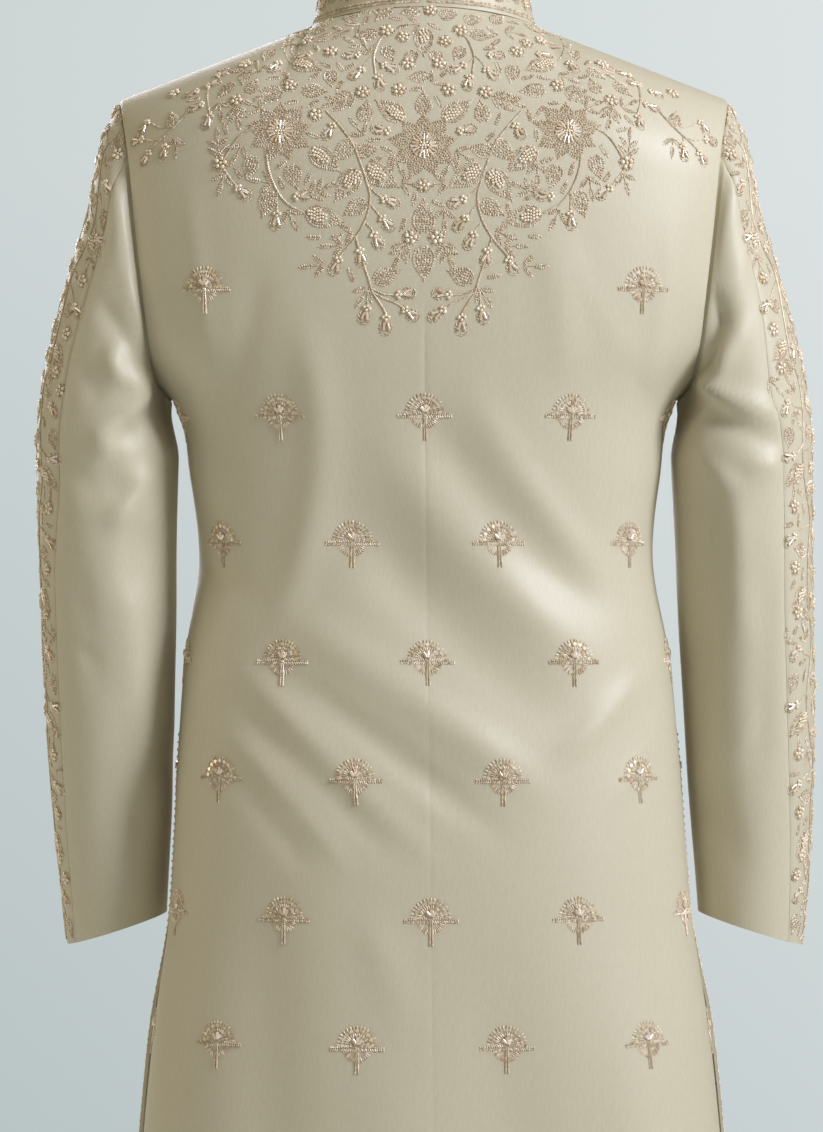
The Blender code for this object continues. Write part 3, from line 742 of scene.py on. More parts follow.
def make_panels(cloth, wall):
    for side, half in ((1.0, "left"), (-1.0, "right")):
        for panel in ("back", "front"):
            grid = panel_of(panel, side)["skin"]
            piece = sew_wall(f"{panel}_{half}_satin", grid, (0.0, 0.0, -0.5), wall, cloth)
            declare(piece, "coat_satin", f"{panel}_{half}")


def make_sleeves(cloth, wall):
    for arm in ("left", "right"):
        middle = sleeve_of(arm)["skin"][HEAD_ROWS + ARM_ROWS // 2].mean(axis=0)
        for part in ("top", "under"):
            grid = sleeve_piece(arm, part)
            piece = sew_wall(f"sleeve_{part}_{arm}_satin", grid, middle, wall, cloth)
            slot = "embroidered_satin" if part == "top" else "coat_satin"
            declare(piece, slot, f"sleeve_{part}_{arm}")


def make_collar(cloth, wall):
    piece = sew_wall("collar_satin", collar_grid(), (0.0, 0.0, 0.02), wall, cloth)
    declare(piece, "embroidered_satin", "collar")


# --- finishes of beads, thread and buttons ------------------------------------------------------


def bead_finish(finish, light, dark):
    """A bead or thread whose every piece has its own tone between two."""
    material, tree, shader = new_material(finish.name)
    tone = add_node(tree, "ShaderNodeAttribute", {"attribute_name": "tone"}).outputs["Fac"]
    look = {
        "Base Color": shade_between(tree, tone, dark, light),
        "Metallic": finish.metallic,
        "Roughness": finish.roughness,
        "Coat Weight": finish.coat,
        "Coat Roughness": 0.12,
    }
    set_inputs(shader, look)
    return material


Finish = namedtuple("Finish", "name metallic roughness coat")
FINISHES = {
    # Moulded glass pearls, lacquered: a soft cream body under a clear bright skin
    "pearl": Finish("lacquered glass pearl", 0.05, 0.26, 0.6),
    # Cut glass tubes lined with metal: small hard glints between darker ends
    "bugle": Finish("lined cut glass tube", 0.35, 0.18, 0.6),
    # Stamped polyester sequins: flat mirrors that catch the light one by one
    "sequin": Finish("champagne sequin", 0.60, 0.30, 0.0),
    # Viscose thread worked in seed stitches: silky, each stitch a tone of its own between cream and tan
    "grain": Finish("champagne viscose stitch", 0.0, 0.38, 0.0),
    # Twisted metallised cord, couched down: a paler golden line
    "cord": Finish("twisted champagne cord", 0.1, 0.36, 0.0),
}


def needle_finishes(colours):
    """The finishes of what is sewn on, by kind, made once."""
    made = {}
    for kind, finish in FINISHES.items():
        light, dark = getattr(colours, kind + "_light"), getattr(colours, kind + "_dark")
        found = bpy.data.materials.get(finish.name)
        made[kind] = found or bead_finish(finish, light, dark)
    return made


def coat_satin(colours):
    """The coat's satin, made once."""
    found = bpy.data.materials.get("sage satin")
    return found or satin("sage satin", colours.satin_light, colours.satin_dark)


WEAR_SIZE = 0.0016
WEAR_DEPTH = 0.0002


def gilt_brass(light, dark):
    """Stamped brass with an antique gilt wash: bright where it is rubbed, brown in its tiny hollows."""
    material, tree, shader = new_material("antique gilt brass")
    place = add_node(tree, "ShaderNodeTexCoord").outputs["Object"]
    worn = noise(tree, place, 1 / WEAR_SIZE, Detail=4.0, Roughness=0.6)
    look = {
        "Base Color": shade_between(tree, worn, dark, light),
        "Normal": bump(tree, worn, 0.25, WEAR_DEPTH),
        "Metallic": 1.0,
        "Roughness": 0.34,
    }
    set_inputs(shader, look)
    return material


# A button's outline from its seat to its crown: height and radius as shares of the whole
Step = namedtuple("Step", "rise radius")
BUTTON_STEPS = rows_of(
    Step,
    (0.00, 0.950), (0.14, 1.000), (0.26, 0.960), (0.25, 0.900), (0.46, 0.830), (0.68, 0.670),
    (0.85, 0.470), (0.96, 0.250), (1.00, 0.080),
)


def turn_button(radius, rise):
    """A domed button at the origin, crown up: a cap with a rolled rim and a groove inside the rim."""
    bpy.ops.object.select_all(action="DESELECT")
    foot = radius * BUTTON_STEPS[0].radius
    bpy.ops.mesh.primitive_circle_add(vertices=BUTTON_SIDES, radius=foot, fill_type="NGON")
    button = bpy.context.active_object
    bpy.ops.object.mode_set(mode="EDIT")
    bpy.ops.mesh.select_all(action="SELECT")
    for before, step in zip(BUTTON_STEPS, BUTTON_STEPS[1:]):
        lift = rise * (step.rise - before.rise)
        shrink = step.radius / before.radius
        bpy.ops.mesh.extrude_region_move(TRANSFORM_OT_translate={"value": (0.0, 0.0, lift)})
        bpy.ops.transform.resize(value=(shrink, shrink, 1.0))
    bpy.ops.mesh.select_all(action="SELECT")
    bpy.ops.mesh.normals_make_consistent(inside=False)
    bpy.ops.object.mode_set(mode="OBJECT")
    return button


def make_buttons(brass, radius, rise):
    """A row of buttons down the centre line of the left front, each its own copy on its seat."""
    front = panel_of("front", 1.0)
    line, ways = front["outer"][:, front["centre"]], front["normals"][:, front["centre"]]
    pattern = turn_button(radius, rise)
    for index in range(BUTTON_COUNT):
        height = BUTTON_TOP - index * BUTTON_PITCH
        normal = unit(point_on(ways, line[:, 2], height))
        seat = placed(point_on(line, line[:, 2], height), 1.0) + normal * BUTTON_SEAT
        across = unit(np.cross(normal, (0.0, 0.0, 1.0)))
        up = np.cross(normal, across)
        button = pattern.copy()
        button.data = pattern.data.copy()
        button.name = button.data.name = f"button_{index + 1}_gilt"
        bpy.context.scene.collection.objects.link(button)
        axes = Matrix(np.column_stack([across, up, normal]).tolist()).to_4x4()
        button.data.transform(Matrix.Translation(seat.tolist()) @ axes)
        button.data.materials.append(brass)
        select_only(button)
        if axes.determinant() < 0:
            button.data.flip_normals()
        smooth(GILT_SMOOTH)
        declare(button, "gilt_button", f"button_{index + 1}")
    bpy.data.objects.remove(pattern)


# --- ground for the needle ------------------------------------------------------------------

MM = 0.001
DOWNWARD = np.array([0.0, 0.0, -1.0])
Spot = namedtuple("Spot", "point side ahead")


class Ground:
    """Cloth that beads and stitches are sewn on: its outer skins, and the nearest place on them."""

    def __init__(self, skins, inside):
        points, faces = [], []
        count = 0
        for skin in skins:
            rows, columns, _ = skin.shape
            index = np.arange(rows * columns).reshape(rows, columns) + count
            corners = (index[:-1, :-1], index[:-1, 1:], index[1:, 1:], index[1:, :-1])
            faces += np.stack(corners, axis=-1).reshape(-1, 4).tolist()
            points += skin.reshape(-1, 3).tolist()
            count += rows * columns
        self.tree = BVHTree.FromPolygons(points, faces)
        self.inside = inside

    def nearest(self, point):
        """The nearest place on the cloth and the way out of it there."""
        place, normal, _, _ = self.tree.find_nearest(Vector(point))
        place, normal = np.array(place), np.array(normal)
        return place, -normal if normal @ (place - self.inside(place)) < 0 else normal

    def spot(self, place, across, down):
        """A place to start a motif from: side points along -across and ahead along -down on the cloth."""
        place, normal = self.nearest(place)
        ahead = -down + normal * (down @ normal)
        ahead = unit(ahead)
        side = np.cross(ahead, normal)
        return Spot(place, side if side @ across < 0 else -side, ahead)


def body_ground(panel):
    """Both halves of the back or the front, as cloth to sew on."""
    return Ground(
        [panel_of(panel, side)["skin"] for side in (1.0, -1.0)],
        lambda place: np.array([np.clip(place[0], -0.10, 0.10), 0.0, place[2]]),
    )


def arm_ground(arm):
    """A whole sleeve, as cloth to sew on."""
    skin = sleeve_of(arm)["skin"]
    middle = skin.mean(axis=1)
    return Ground([skin], lambda place: middle[np.argmin(np.abs(middle[:, 2] - place[2]))])


class Yoke:
    """Places on the upper back or front in millimetres: across from the centre line and down from the
    neck, as they look from straight behind or in front."""

    def __init__(self, ground, panel, half):
        self.ground = ground
        self.half = half
        self.facing = 1.0 if panel == "back" else -1.0

    def spot(self, across, down):
        eye = Vector((VIEW_X, self.facing * VIEW_DISTANCE, VIEW_Z))
        aim = Vector((self.half * across * MM, 0.0, -down * MM))
        hit = self.ground.tree.ray_cast(eye, (aim - eye).normalized())[0]
        place = np.array(hit if hit is not None else aim)
        return self.ground.spot(place, np.array([self.half, 0.0, 0.0]), DOWNWARD)


class Skirt:
    """Places on a half panel: across along the cloth from the centre line, at a height."""

    def __init__(self, ground, grid, half, from_side=False):
        self.ground = ground
        self.grid = grid[:, ::-1] if from_side else grid
        self.half = half

    def spot(self, across, height):
        columns = self.grid.transpose(1, 0, 2)
        line = np.array([point_on(column, column[:, 2], height) for column in columns])
        run = run_along(line)
        if across * MM > run[-1]:
            return None
        place = point_on(line, run, across * MM)
        return self.ground.spot(place, np.array([self.half, 0.0, 0.0]), DOWNWARD)


# How far needlework stays inside a strip: from its far side and its end in metres, and from its near side
# in millimetres
STRIP_FAR = 0.004
STRIP_END = 0.003
STRIP_NEAR = 3.0


class Strip:
    """Places on a long strip of cloth in mm: across from its first column, down from its first row."""

    def __init__(self, ground, grid):
        self.ground = ground
        self.grid = grid
        self.down = arc_lengths(grid)[1][:, grid.shape[1] // 2]

    def row_at(self, down):
        place = np.interp(down * MM, self.down, np.arange(len(self.down)))
        low = min(int(place), len(self.down) - 2)
        return self.grid[low] * (1 - place + low) + self.grid[low + 1] * (place - low)

    def point_at(self, across, down):
        row = self.row_at(down)
        run = run_along(row)
        return point_on(row, run, across * MM), run[-1]

    def spot(self, across, down):
        place, width = self.point_at(across, down)
        past_side = across * MM > width - STRIP_FAR or across < STRIP_NEAR
        if past_side or down * MM > self.down[-1] - STRIP_END:
            return None
        beside = self.point_at(across + 2.0, down)[0]
        below = self.point_at(across, down + 2.0)[0]
        return self.ground.spot(place, unit(beside - place), unit(below - place))


# --- beads and stitches ---------------------------------------------------------------------

Mark = namedtuple("Mark", "place way normal length width height tone")
SEED_ROW = 1.75
SEED_PITCH = 2.0
# How far a bead's middle is raised off the cloth, as a share of its height
RAISED = 0.32


class Work:
    """The beads and stitches of one area, sorted by kind until they are sewn down."""

    def __init__(self, ground, seed):
        self.ground = ground
        self.marks = {kind: [] for kind in ("pearl", "bugle", "sequin", "grain", "cord")}
        self.random = np.random.default_rng(seed)
        self.lightness = 1.0

    def put(self, kind, spot, x, y, turn, length, width, height):
        """One bead or stitch, x to the side and y ahead of the spot, turned from ahead to the side: all in
        millimetres but turn, which is in degrees."""
        target = spot.point + (spot.side * x + spot.ahead * y) * MM
        place, normal = self.ground.nearest(target)
        turn = math.radians(turn)
        way = spot.ahead * math.cos(turn) + spot.side * math.sin(turn)
        way = unit(way - normal * (way @ normal))
        tone = self.random.random() * self.lightness
        middle = place + normal * height * RAISED * MM
        mark = Mark(middle, way, normal, length * MM, width * MM, height * MM, tone)
        self.marks[kind].append(mark)

    def grain(self, spot, x, y, turn, length=2.4, width=1.45):
        """A seed stitch, laid a little out of line as a hand lays it."""
        shift_x, shift_y, lean = self.random.normal(0.0, 1.0, 3)
        x, y, turn = x + 0.12 * shift_x, y + 0.12 * shift_y, turn + 8 * lean
        self.put("grain", spot, x, y, turn, length, width, 1.25)

    def pearl(self, spot, x, y, size):
        self.put("pearl", spot, x, y, 0.0, size, size, size * 0.85)

    def bugle(self, spot, x, y, turn, length, width):
        self.put("bugle", spot, x, y, turn + 4 * self.random.normal(), length, width, width)


def turned(spot, turn):
    """The same place with its ahead turned to the side by some degrees."""
    turn = math.radians(turn)
    ahead = spot.ahead * math.cos(turn) + spot.side * math.sin(turn)
    side = spot.side * math.cos(turn) - spot.ahead * math.sin(turn)
    return Spot(spot.point, side, ahead)


def moved(spot, x, y):
    return Spot(spot.point + (spot.side * x + spot.ahead * y) * MM, spot.side, spot.ahead)


def spots_on(field, rows):
    """The spot of each row's place on a field with the rest of the row, but for places off its edge."""
    for across, down, *rest in rows:
        spot = field.spot(across, down)
        if spot is not None:
            yield spot, *rest


def leaf_half_width(share, width):
    """Half the width of a leaf at a share of its length: full near the base and drawn out to a tip."""
    return width / 2 * math.sin(math.pi * min(max(share, 0.0), 1.0) ** 0.72) ** 0.85


def sew_leaf_edge(work, spot, length, width, inset, lean):
    """A row of slanting stitches up both sides of a leaf, which gives it a ragged edge."""
    count = max(int(length / 1.6), 5)
    for k in range(count):
        share = (k + 0.5) / count
        x = leaf_half_width(share, width) * inset
        for way in (-1, 1):
            work.grain(spot, way * x, length * share, way * lean * (1.1 - 0.4 * share))


def sew_seeds(work, spot, length, width, start, end, reach=0.76):
    """Short seed stitches in staggered rows inside a leaf, between two shares of its length."""
    for row in range(int((end - start) * length / SEED_ROW) + 1):
        y = start * length + SEED_ROW * row
        half = leaf_half_width(y / length, width) * reach
        count = max(int(2 * half / SEED_PITCH + 0.9), 1)
        for k in range(count):
            x = (k - (count - 1) / 2) * SEED_PITCH
            work.grain(spot, x, y, 44.0 * (-1) ** (k + row), 2.1, 1.5)


def sew_tip(work, spot, length):
    """The drawn-out tip of a leaf."""
    for k in range(2):
        work.grain(spot, 0.0, length * (1.0 + 0.07 * k), 12.0 * (-1) ** k, 2.4, 1.1)


def sew_beaded_leaf(work, spot, length):
    """A leaf with a tapered patch of small pearls on its lower part and stitches round it to the tip."""
    width = 0.56 * length
    sew_leaf_edge(work, spot, length, width, 1.02, 52.0)
    for k in range(int(0.7 * length / 1.8)):
        share = (1.8 * k + 1.5) / length
        for way in (-1, 1):
            x = way * leaf_half_width(share, width) * 0.76
            work.grain(spot, x, share * length, way * 40.0, 2.1, 1.4)
    rows = int(0.62 * length / 2.2)
    for row in range(rows):
        half = 0.24 * width * math.sin(math.pi * (row + 0.9) / (rows + 0.8)) ** 0.6
        count = int(2 * half / 2.3) + 1
        shift = 0.4 * (row % 2) - 0.2
        for k in range(count):
            x = (k - (count - 1) / 2 + shift) * 2.3
            work.pearl(spot, x, 0.07 * length + 2.2 * row + 0.25 * x, 2.45)
    sew_seeds(work, spot, length, width, 0.72, 0.95)
    sew_tip(work, spot, length)


def sew_stitched_leaf(work, spot, length):
    """A leaf filled with seed stitches inside a ragged edge."""
    width = 0.62 * length
    sew_leaf_edge(work, spot, length, width, 1.04, 52.0)
    sew_seeds(work, spot, length, width, 0.08, 0.93)
    sew_tip(work, spot, length)


def sew_blossom(work, spot, radius):
    """A small flower of five pearl petals round a middle one, each petal ringed with stitches."""
    for k in range(5):
        turn = math.radians(72 * k + 10)
        x, y = radius * math.sin(turn), radius * math.cos(turn)
        work.pearl(spot, x * 0.58, y * 0.58, radius * 0.60)
        work.grain(spot, x * 1.04, y * 1.04, 72 * k + 100, 2.6, 1.2)
        for way in (-1, 1):
            edge = turn + way * 0.42
            x, y = radius * 0.93 * math.sin(edge), radius * 0.93 * math.cos(edge)
            work.grain(spot, x, y, math.degrees(edge) + way * 30, 2.4, 1.1)
    work.pearl(spot, 0.0, 0.0, radius * 0.5)


def sew_bud(work, spot, length):
    """A bud: pearls at the base, two thick cut tubes in an egg-shaped cup outlined twice."""
    for x, y in ((0.0, 0.02), (-2.1, 0.11), (2.1, 0.11), (0.0, 0.23)):
        work.pearl(spot, x, y * length, 2.8)
    for turn in (-18.0, 14.0):
        at = math.radians(turn)
        x, y = length * 0.36 * math.sin(at), length * (0.14 + 0.40 * math.cos(at))
        work.bugle(spot, x, y, turn, length * 0.38, 2.1)
    for reach, steps in ((1.0, 9), (0.68, 5)):
        for k in range(steps):
            turn = 116.0 * (2 * k / (steps - 1) - 1)
            at = math.radians(turn)
            x = reach * math.sin(at) * length * 0.28
            y = length * (0.60 + 0.36 * reach * math.cos(at))
            work.grain(spot, x, y, turn + 90 - 24 * (turn > 0) + 24 * (turn < 0), 2.5, 1.1)


def sew_leaflet(work, spot, x, y, turn, length):
    """A tiny leaf like an ear of wheat: pairs of slanting stitches that meet at its midrib."""
    count = max(int(length / 1.5), 2)
    at = math.radians(turn)
    for k in range(count):
        ahead = 0.8 + k * length / count
        spread = 0.55 + 0.50 * math.sin(math.pi * (k + 0.6) / (count + 0.4))
        for way in (-1, 1):
            dx = ahead * math.sin(at) + way * spread * math.cos(at)
            dy = ahead * math.cos(at) - way * spread * math.sin(at)
            work.grain(spot, x + dx, y + dy, turn + way * 62.0, 2.3, 1.35)
    work.grain(spot, x + (length + 1.0) * math.sin(at), y + (length + 1.0) * math.cos(at), turn)


def sew_sprig(work, spot, length):
    """A fern sprig: a thin stalk with paired leaflets and one at its end."""
    for k in range(int(length * 0.7 / 1.9)):
        work.grain(spot, 0.0, 0.9 + 1.9 * k, 0.0, 2.6, 0.9)
    pairs = max(int(length / 8.0), 1)
    for k in range(pairs):
        y = length * (0.06 + 0.62 * k / pairs)
        for way in (-1, 1):
            sew_leaflet(work, spot, way * 0.8, y, way * 48.0, 8.0 - 0.7 * k)
    sew_leaflet(work, spot, 0.0, length * 0.66, 0.0, 8.0)


def sew_small_leaf(work, spot, length):
    """A single leaflet that fills a gap."""
    sew_leaflet(work, spot, 0.0, 0.0, 0.0, length)


PETALS = 9
PETAL_LIGHTNESS = 0.62
HEART_TUBES = 18


def sew_flower(work, spot, radius):
    """A large flower: broad petals filled with seed stitches, thick cut tubes packed round the heart,
    longer on its lower side, and pearls in the middle."""
    work.lightness = PETAL_LIGHTNESS
    for petal in range(PETALS):
        leaf = moved(turned(spot, 360.0 * petal / PETALS), 0.0, radius * 0.34)
        length = radius * (0.68 if petal % 2 else 0.60)
        sew_leaf_edge(work, leaf, length, 0.72 * length, 1.0, 50.0)
        sew_seeds(work, leaf, length, 0.72 * length, 0.10, 0.92, 0.74)
        sew_tip(work, leaf, length)
    work.lightness = 1.0
    for k in range(HEART_TUBES):
        turn = 360.0 / HEART_TUBES * k
        at = math.radians(turn)
        low = 0.5 - 0.5 * math.cos(at)
        reach = radius * (0.24 + 0.05 * low + 0.03 * (k % 2))
        work.bugle(spot, reach * math.sin(at), reach * math.cos(at), turn, 4.4 + 1.6 * low, 2.0)
    for count, reach in ((7, 2.9), (3, 1.1)):
        for k in range(count):
            at = 2 * math.pi * k / count
            work.pearl(spot, reach * math.sin(at), reach * math.cos(at), 2.3)


def sew_ray(work, spot, reach, turn, lift=0.0, lean=0.0, length=2.5, width=1.2):
    """A stitch at a reach and turn from the spot, laid along the ray but for its lean."""
    at = math.radians(turn)
    work.grain(spot, reach * math.sin(at), lift + reach * math.cos(at), turn + lean, length, width)


FAN_RAYS = 17
SPINDLE_STITCHES = 12
LOW_RAYS = 7
STALK_TURNS = 11


def sew_butti(work, spot, radius):
    """A scattered motif: a fan of stitches rimmed with sequins over a bud of cut tubes, a spindle of two
    rows of slanting stitches across it, a half round of long rays below and a thick corded stalk."""
    for k in range(FAN_RAYS):
        turn = -88 + 11 * k
        sew_ray(work, spot, radius * 0.98, turn, 0.0, 0.0, 3.0, 1.7)
        sew_ray(work, spot, radius * 0.58, turn, 0.0, 8.0 * (-1) ** k, 4.2, 1.6)
        if k % 2:
            sew_ray(work, spot, radius * 0.36, turn, 0.0, 0.0, 2.6, 1.3)
            sew_ray(work, spot, radius * 0.79, turn, 0.0, 0.0, 3.0, 1.6)
        else:
            at = math.radians(turn)
            x, y = radius * 0.79 * math.sin(at), radius * 0.79 * math.cos(at)
            work.put("sequin", spot, x, y, turn, 2.8, 2.8, 0.9)
    for turn, length in ((-38.0, 4.6), (4.0, 5.6), (40.0, 3.8)):
        at = math.radians(turn)
        work.bugle(spot, 3.0 * math.sin(at), 0.4 + 3.4 * math.cos(at), turn, length, 2.7)
    for way in (-1, 1):
        for k in range(SPINDLE_STITCHES):
            x = 1.8 + 1.62 * k
            tall = 1.55 - 0.075 * k
            y = -1.6 - 0.0015 * x * x
            for row in (-1, 1):
                work.grain(spot, way * x, y + tall * row, way * (90 - 64 * row), 1.5 + 1.3 * tall, 1.5)
        for k in range(LOW_RAYS):
            sew_ray(work, spot, 8.9, way * (112 + 9.6 * k), -1.2, 0.0, 5.2, 1.5)
    for k in range(STALK_TURNS):
        for x in (-0.8, 0.8):
            work.put("cord", spot, x * (0.8 + 0.05 * k), -2.2 - 1.7 * k, -14.0 * x, 3.0, 1.6, 1.5)


# A stalk's step and width in millimetres, and the number of steps below which it isn't corded but stitched
STEM_STEP = 1.6
STEM_WIDTH = 1.6
SHORT_STEM = 20


def smooth_route(points):
    """Places every step along a smooth curve through the given ones."""
    points = np.asarray(points, float)
    ends = np.concatenate([[2 * points[0] - points[1]], points, [2 * points[-1] - points[-2]]])
    fine = []
    for before, start, end, after in zip(ends, ends[1:], ends[2:], ends[3:]):
        for t in np.linspace(0.0, 1.0, 12, endpoint=False):
            place = 2 * start + (end - before) * t
            place = place + (2 * before - 5 * start + 4 * end - after) * t * t
            place = place + (3 * start - before - 3 * end + after) * t**3
            fine.append(0.5 * place)
    fine = np.array([*fine, points[-1]])
    run = run_along(fine)
    places = np.linspace(0.0, run[-1], max(int(run[-1] / STEM_STEP), 2))
    return np.stack([np.interp(places, run, fine[:, k]) for k in range(2)], axis=-1)


def couch_stem(work, field, points):
    """A stalk of twisted cord couched down along a route on a field; a short one is a row of stitches."""
    route = smooth_route(points)
    ways = np.gradient(route, axis=0)
    for (across, down), (da, dd) in zip(route, ways):
        spot = field.spot(across, down)
        if spot is None:
            continue
        turn = math.degrees(math.atan2(-da, -dd))
        if len(route) < SHORT_STEM:
            work.grain(spot, 0.0, 0.0, turn + 12.0, 2.7, 1.2)
        else:
            work.put("cord", spot, 0.0, 0.0, turn + 15.0, 3.0, STEM_WIDTH, 1.35)


MOTIFS = {
    "flower": sew_flower,
    "beaded leaf": sew_beaded_leaf,
    "stitched leaf": sew_stitched_leaf,
    "blossom": sew_blossom,
    "bud": sew_bud,
    "sprig": sew_sprig,
    "small leaf": sew_small_leaf,
}

# What fills the gaps between motifs, largest first: the clear space that each needs round it, and its
# size, in millimetres
Filler = namedtuple("Filler", "kind clear size")
FILLERS = rows_of(
    Filler,
    ("stitched leaf", 9.0, 15.0),
    ("blossom", 7.6, 5.2),
    ("sprig", 6.6, 13.0),
    ("small leaf", 4.7, 8.5),
)
FILL_STEP = 4.5
NEARBY = 25.0


def clear_space(taken, point):
    """How far the nearest bead or stitch is, in millimetres."""
    return math.sqrt(((taken - point) ** 2).sum(axis=1).min()) / MM


def fill_gaps(work, spots):
    """Sews small motifs wherever the large ones leave a gap, each turned the way that has most room.
    Each place comes with how much more space than usual it keeps."""
    taken = np.array([mark.place for marks in work.marks.values() for mark in marks])
    for filler in FILLERS:
        for spot, spare in spots:
            if clear_space(taken, spot.point) < filler.clear * spare:
                continue
            near = taken[np.abs(taken - spot.point).max(axis=1) < NEARBY * MM]
            half = filler.size / 2 if filler.kind != "blossom" else 0.0
            best, room = 0.0, -1.0
            for turn in range(0, 360, 30):
                trial = turned(spot, turn)
                ends = [clear_space(near, moved(trial, 0.0, way * half).point) for way in (-1, 1)]
                if min(ends) + 0.2 * work.random.random() > room:
                    best, room = turn, min(ends)
            counts = {kind: len(marks) for kind, marks in work.marks.items()}
            size = filler.size * (0.92 + 0.16 * work.random.random())
            lean = best + 12 * work.random.normal()
            MOTIFS[filler.kind](work, moved(turned(spot, lean), 0.0, -half), size)
            new = [m.place for kind, marks in work.marks.items() for m in marks[counts[kind] :]]
            taken = np.concatenate([taken, np.array(new)])


def places_to_fill(work, downs, reach_at):
    """Jittered places a few millimetres apart, by rows down a field, in a mixed order."""
    places = []
    for down in np.arange(*downs, FILL_STEP):
        for across in np.arange(2.0, reach_at(down), FILL_STEP):
            shift = work.random.uniform(-0.4, 0.4, 2) * FILL_STEP
            places.append((across + shift[0], down + shift[1]))
    work.random.shuffle(places)
    return places


# Motifs of half the yoke: millimetres across from the centre line and down from the neck, the turn in
# degrees from up towards the centre line, and the size in millimetres
Motif = namedtuple("Motif", "kind across down turn size")


def motifs_of(groups):
    """A table of motifs from its rows by kind."""
    return tuple(Motif(kind, *row) for kind, rows in groups.items() for row in rows)


YOKE = motifs_of(
    {
        "flower": ((110, 78, 0, 23.5),),
        "beaded leaf": (
            (86, 92, 128, 26), (90, 141, 104, 27), (50, 108, 216, 27), (44, 106, 122, 27),
            (15, 70, 308, 25), (99, 26, 102, 25),
        ),
        "stitched leaf": (
            (130, 97, 195, 17), (102, 104, 162, 18), (117, 124, 196, 19), (53, 86, 226, 20),
            (52, 95, 78, 16), (44, 132, 238, 18), (93, 47, 96, 18), (38, 193, 68, 19),
            (30, 14, 150, 14), (35, 4, 262, 17), (134, 50, 18, 14), (191, 76, 335, 15), (46, 72, 8, 17),
            (7, 17, 205, 14), (146, 34, 40, 13),
        ),
        "blossom": (
            (155, 103, 0, 5.7), (47, 49, 20, 5.5), (19, 47, 0, 5.5), (12, 27, 40, 5.5),
            (28, 2, 10, 5.9), (71, 18, 0, 5.5), (89, 10, 30, 5.5), (102, 44, 0, 5.5),
            (143, 55, 15, 5.5), (136, 28, 0, 5.9), (10, 160, 0, 5.7), (190, 50, 0, 5.2),
        ),
        "bud": (
            (143, 121, 131, 14.8), (112, 140, 184, 14.8), (99, 129, 82, 14.8), (64, 175, 206, 14.8),
            (49, 168, 170, 14.8), (39, 156, 152, 14.8), (33, 144, 138, 14.8), (32, 130, 112, 14.8),
            (43, 212, 196, 14.8), (29, 219, 180, 16), (16, 214, 126, 14.8), (21, 204, 82, 14.8),
            (69, 73, 208, 14.8), (26, 79, 282, 14.8), (35, 36, 168, 14.8), (32, 28, 116, 14.8),
            (46, 31, 226, 14.8), (49, 21, 272, 13.7), (86, 20, 266, 13.7), (110, 26, 210, 14.8),
            (158, 37, 62, 12.5), (166, 45, 60, 12.5), (172, 48, 242, 12.5), (168, 58, 246, 13.7),
            (163, 66, 186, 13.7), (210, 71, 206, 13.7), (214, 85, 262, 13.7), (209, 94, 214, 13.7),
            (197, 89, 188, 13.7),
        ),
        "sprig": (
            (52, 52, 250, 26), (107, 47, 246, 24), (144, 60, 160, 17), (156, 98, 352, 20),
            (87, 127, 66, 20), (76, 181, 266, 14), (14, 164, 206, 18), (152, 111, 196, 11),
            (104, 139, 152, 11), (55, 155, 250, 11), (62, 166, 268, 12), (43, 199, 212, 10),
            (60, 60, 300, 12), (17, 118, 100, 12), (22, 100, 150, 12), (124, 62, 300, 13),
            (62, 2, 255, 13), (190, 84, 170, 10),
        ),
    }
)
MEDALLION = motifs_of(
    {
        "flower": ((0, 89, 0, 24.5),),
        "stitched leaf": ((0, 66, 0, 18), (0, 157, 0, 24), (0, 166, 180, 24)),
        "beaded leaf": ((0, 0, 180, 24),),
        "blossom": ((0, 120, 0, 5.2),),
    }
)
YOKE_STEMS = (
    ((74, 64), (64, 75), (54, 89), (48, 104), (44, 116), (41, 129), (44, 145), (53, 161), (64, 174)),
    ((42, 133), (38, 138), (34, 143)), ((43, 120), (38, 125), (33, 129)),
    ((45, 148), (41, 152), (39, 155)),
    ((52, 160), (50, 167), (46, 180), (42, 192), (39, 202), (33, 211), (29, 218)),
    ((41, 197), (43, 205), (43, 211)), ((39, 202), (31, 206), (22, 210), (17, 213)),
    ((40, 199), (31, 203), (23, 204)), ((120, 98), (118, 110), (112, 124), (104, 134), (92, 141)),
    ((112, 124), (112, 132), (112, 139)), ((155, 104), (149, 113), (143, 121)),
    ((28, 3), (34, 10), (38, 22), (37, 34)), ((38, 22), (35, 26), (32, 28)),
    ((38, 20), (43, 25), (47, 30)), ((158, 36), (164, 46), (165, 56), (163, 65)),
    ((180, 64), (191, 76), (202, 86), (209, 93)), ((197, 81), (198, 85), (197, 88)),
    ((190, 75), (201, 76), (209, 72)), ((200, 84), (207, 86), (213, 85)),
    ((103, 6), (107, 14), (104, 24), (99, 27)), ((131, 76), (142, 84), (153, 101)),
)

# Rows of scattered motifs: their height, and their places out from the centre line in pitches
Row = namedtuple("Row", "height places")
ODD = (0.5, 1.5, 2.5)
EVEN = (0, 1, 2)
BUTTI_ROWS = rows_of(
    Row,
    (-0.204, (1.5,)), (-0.298, EVEN), (-0.392, ODD), (-0.480, EVEN), (-0.567, ODD), (-0.669, EVEN),
    (-0.762, ODD), (-0.854, EVEN), (-0.947, ODD), (-1.040, EVEN),
)
BUTTI_RADIUS = 0.0142
BUTTI_PITCH = 0.110

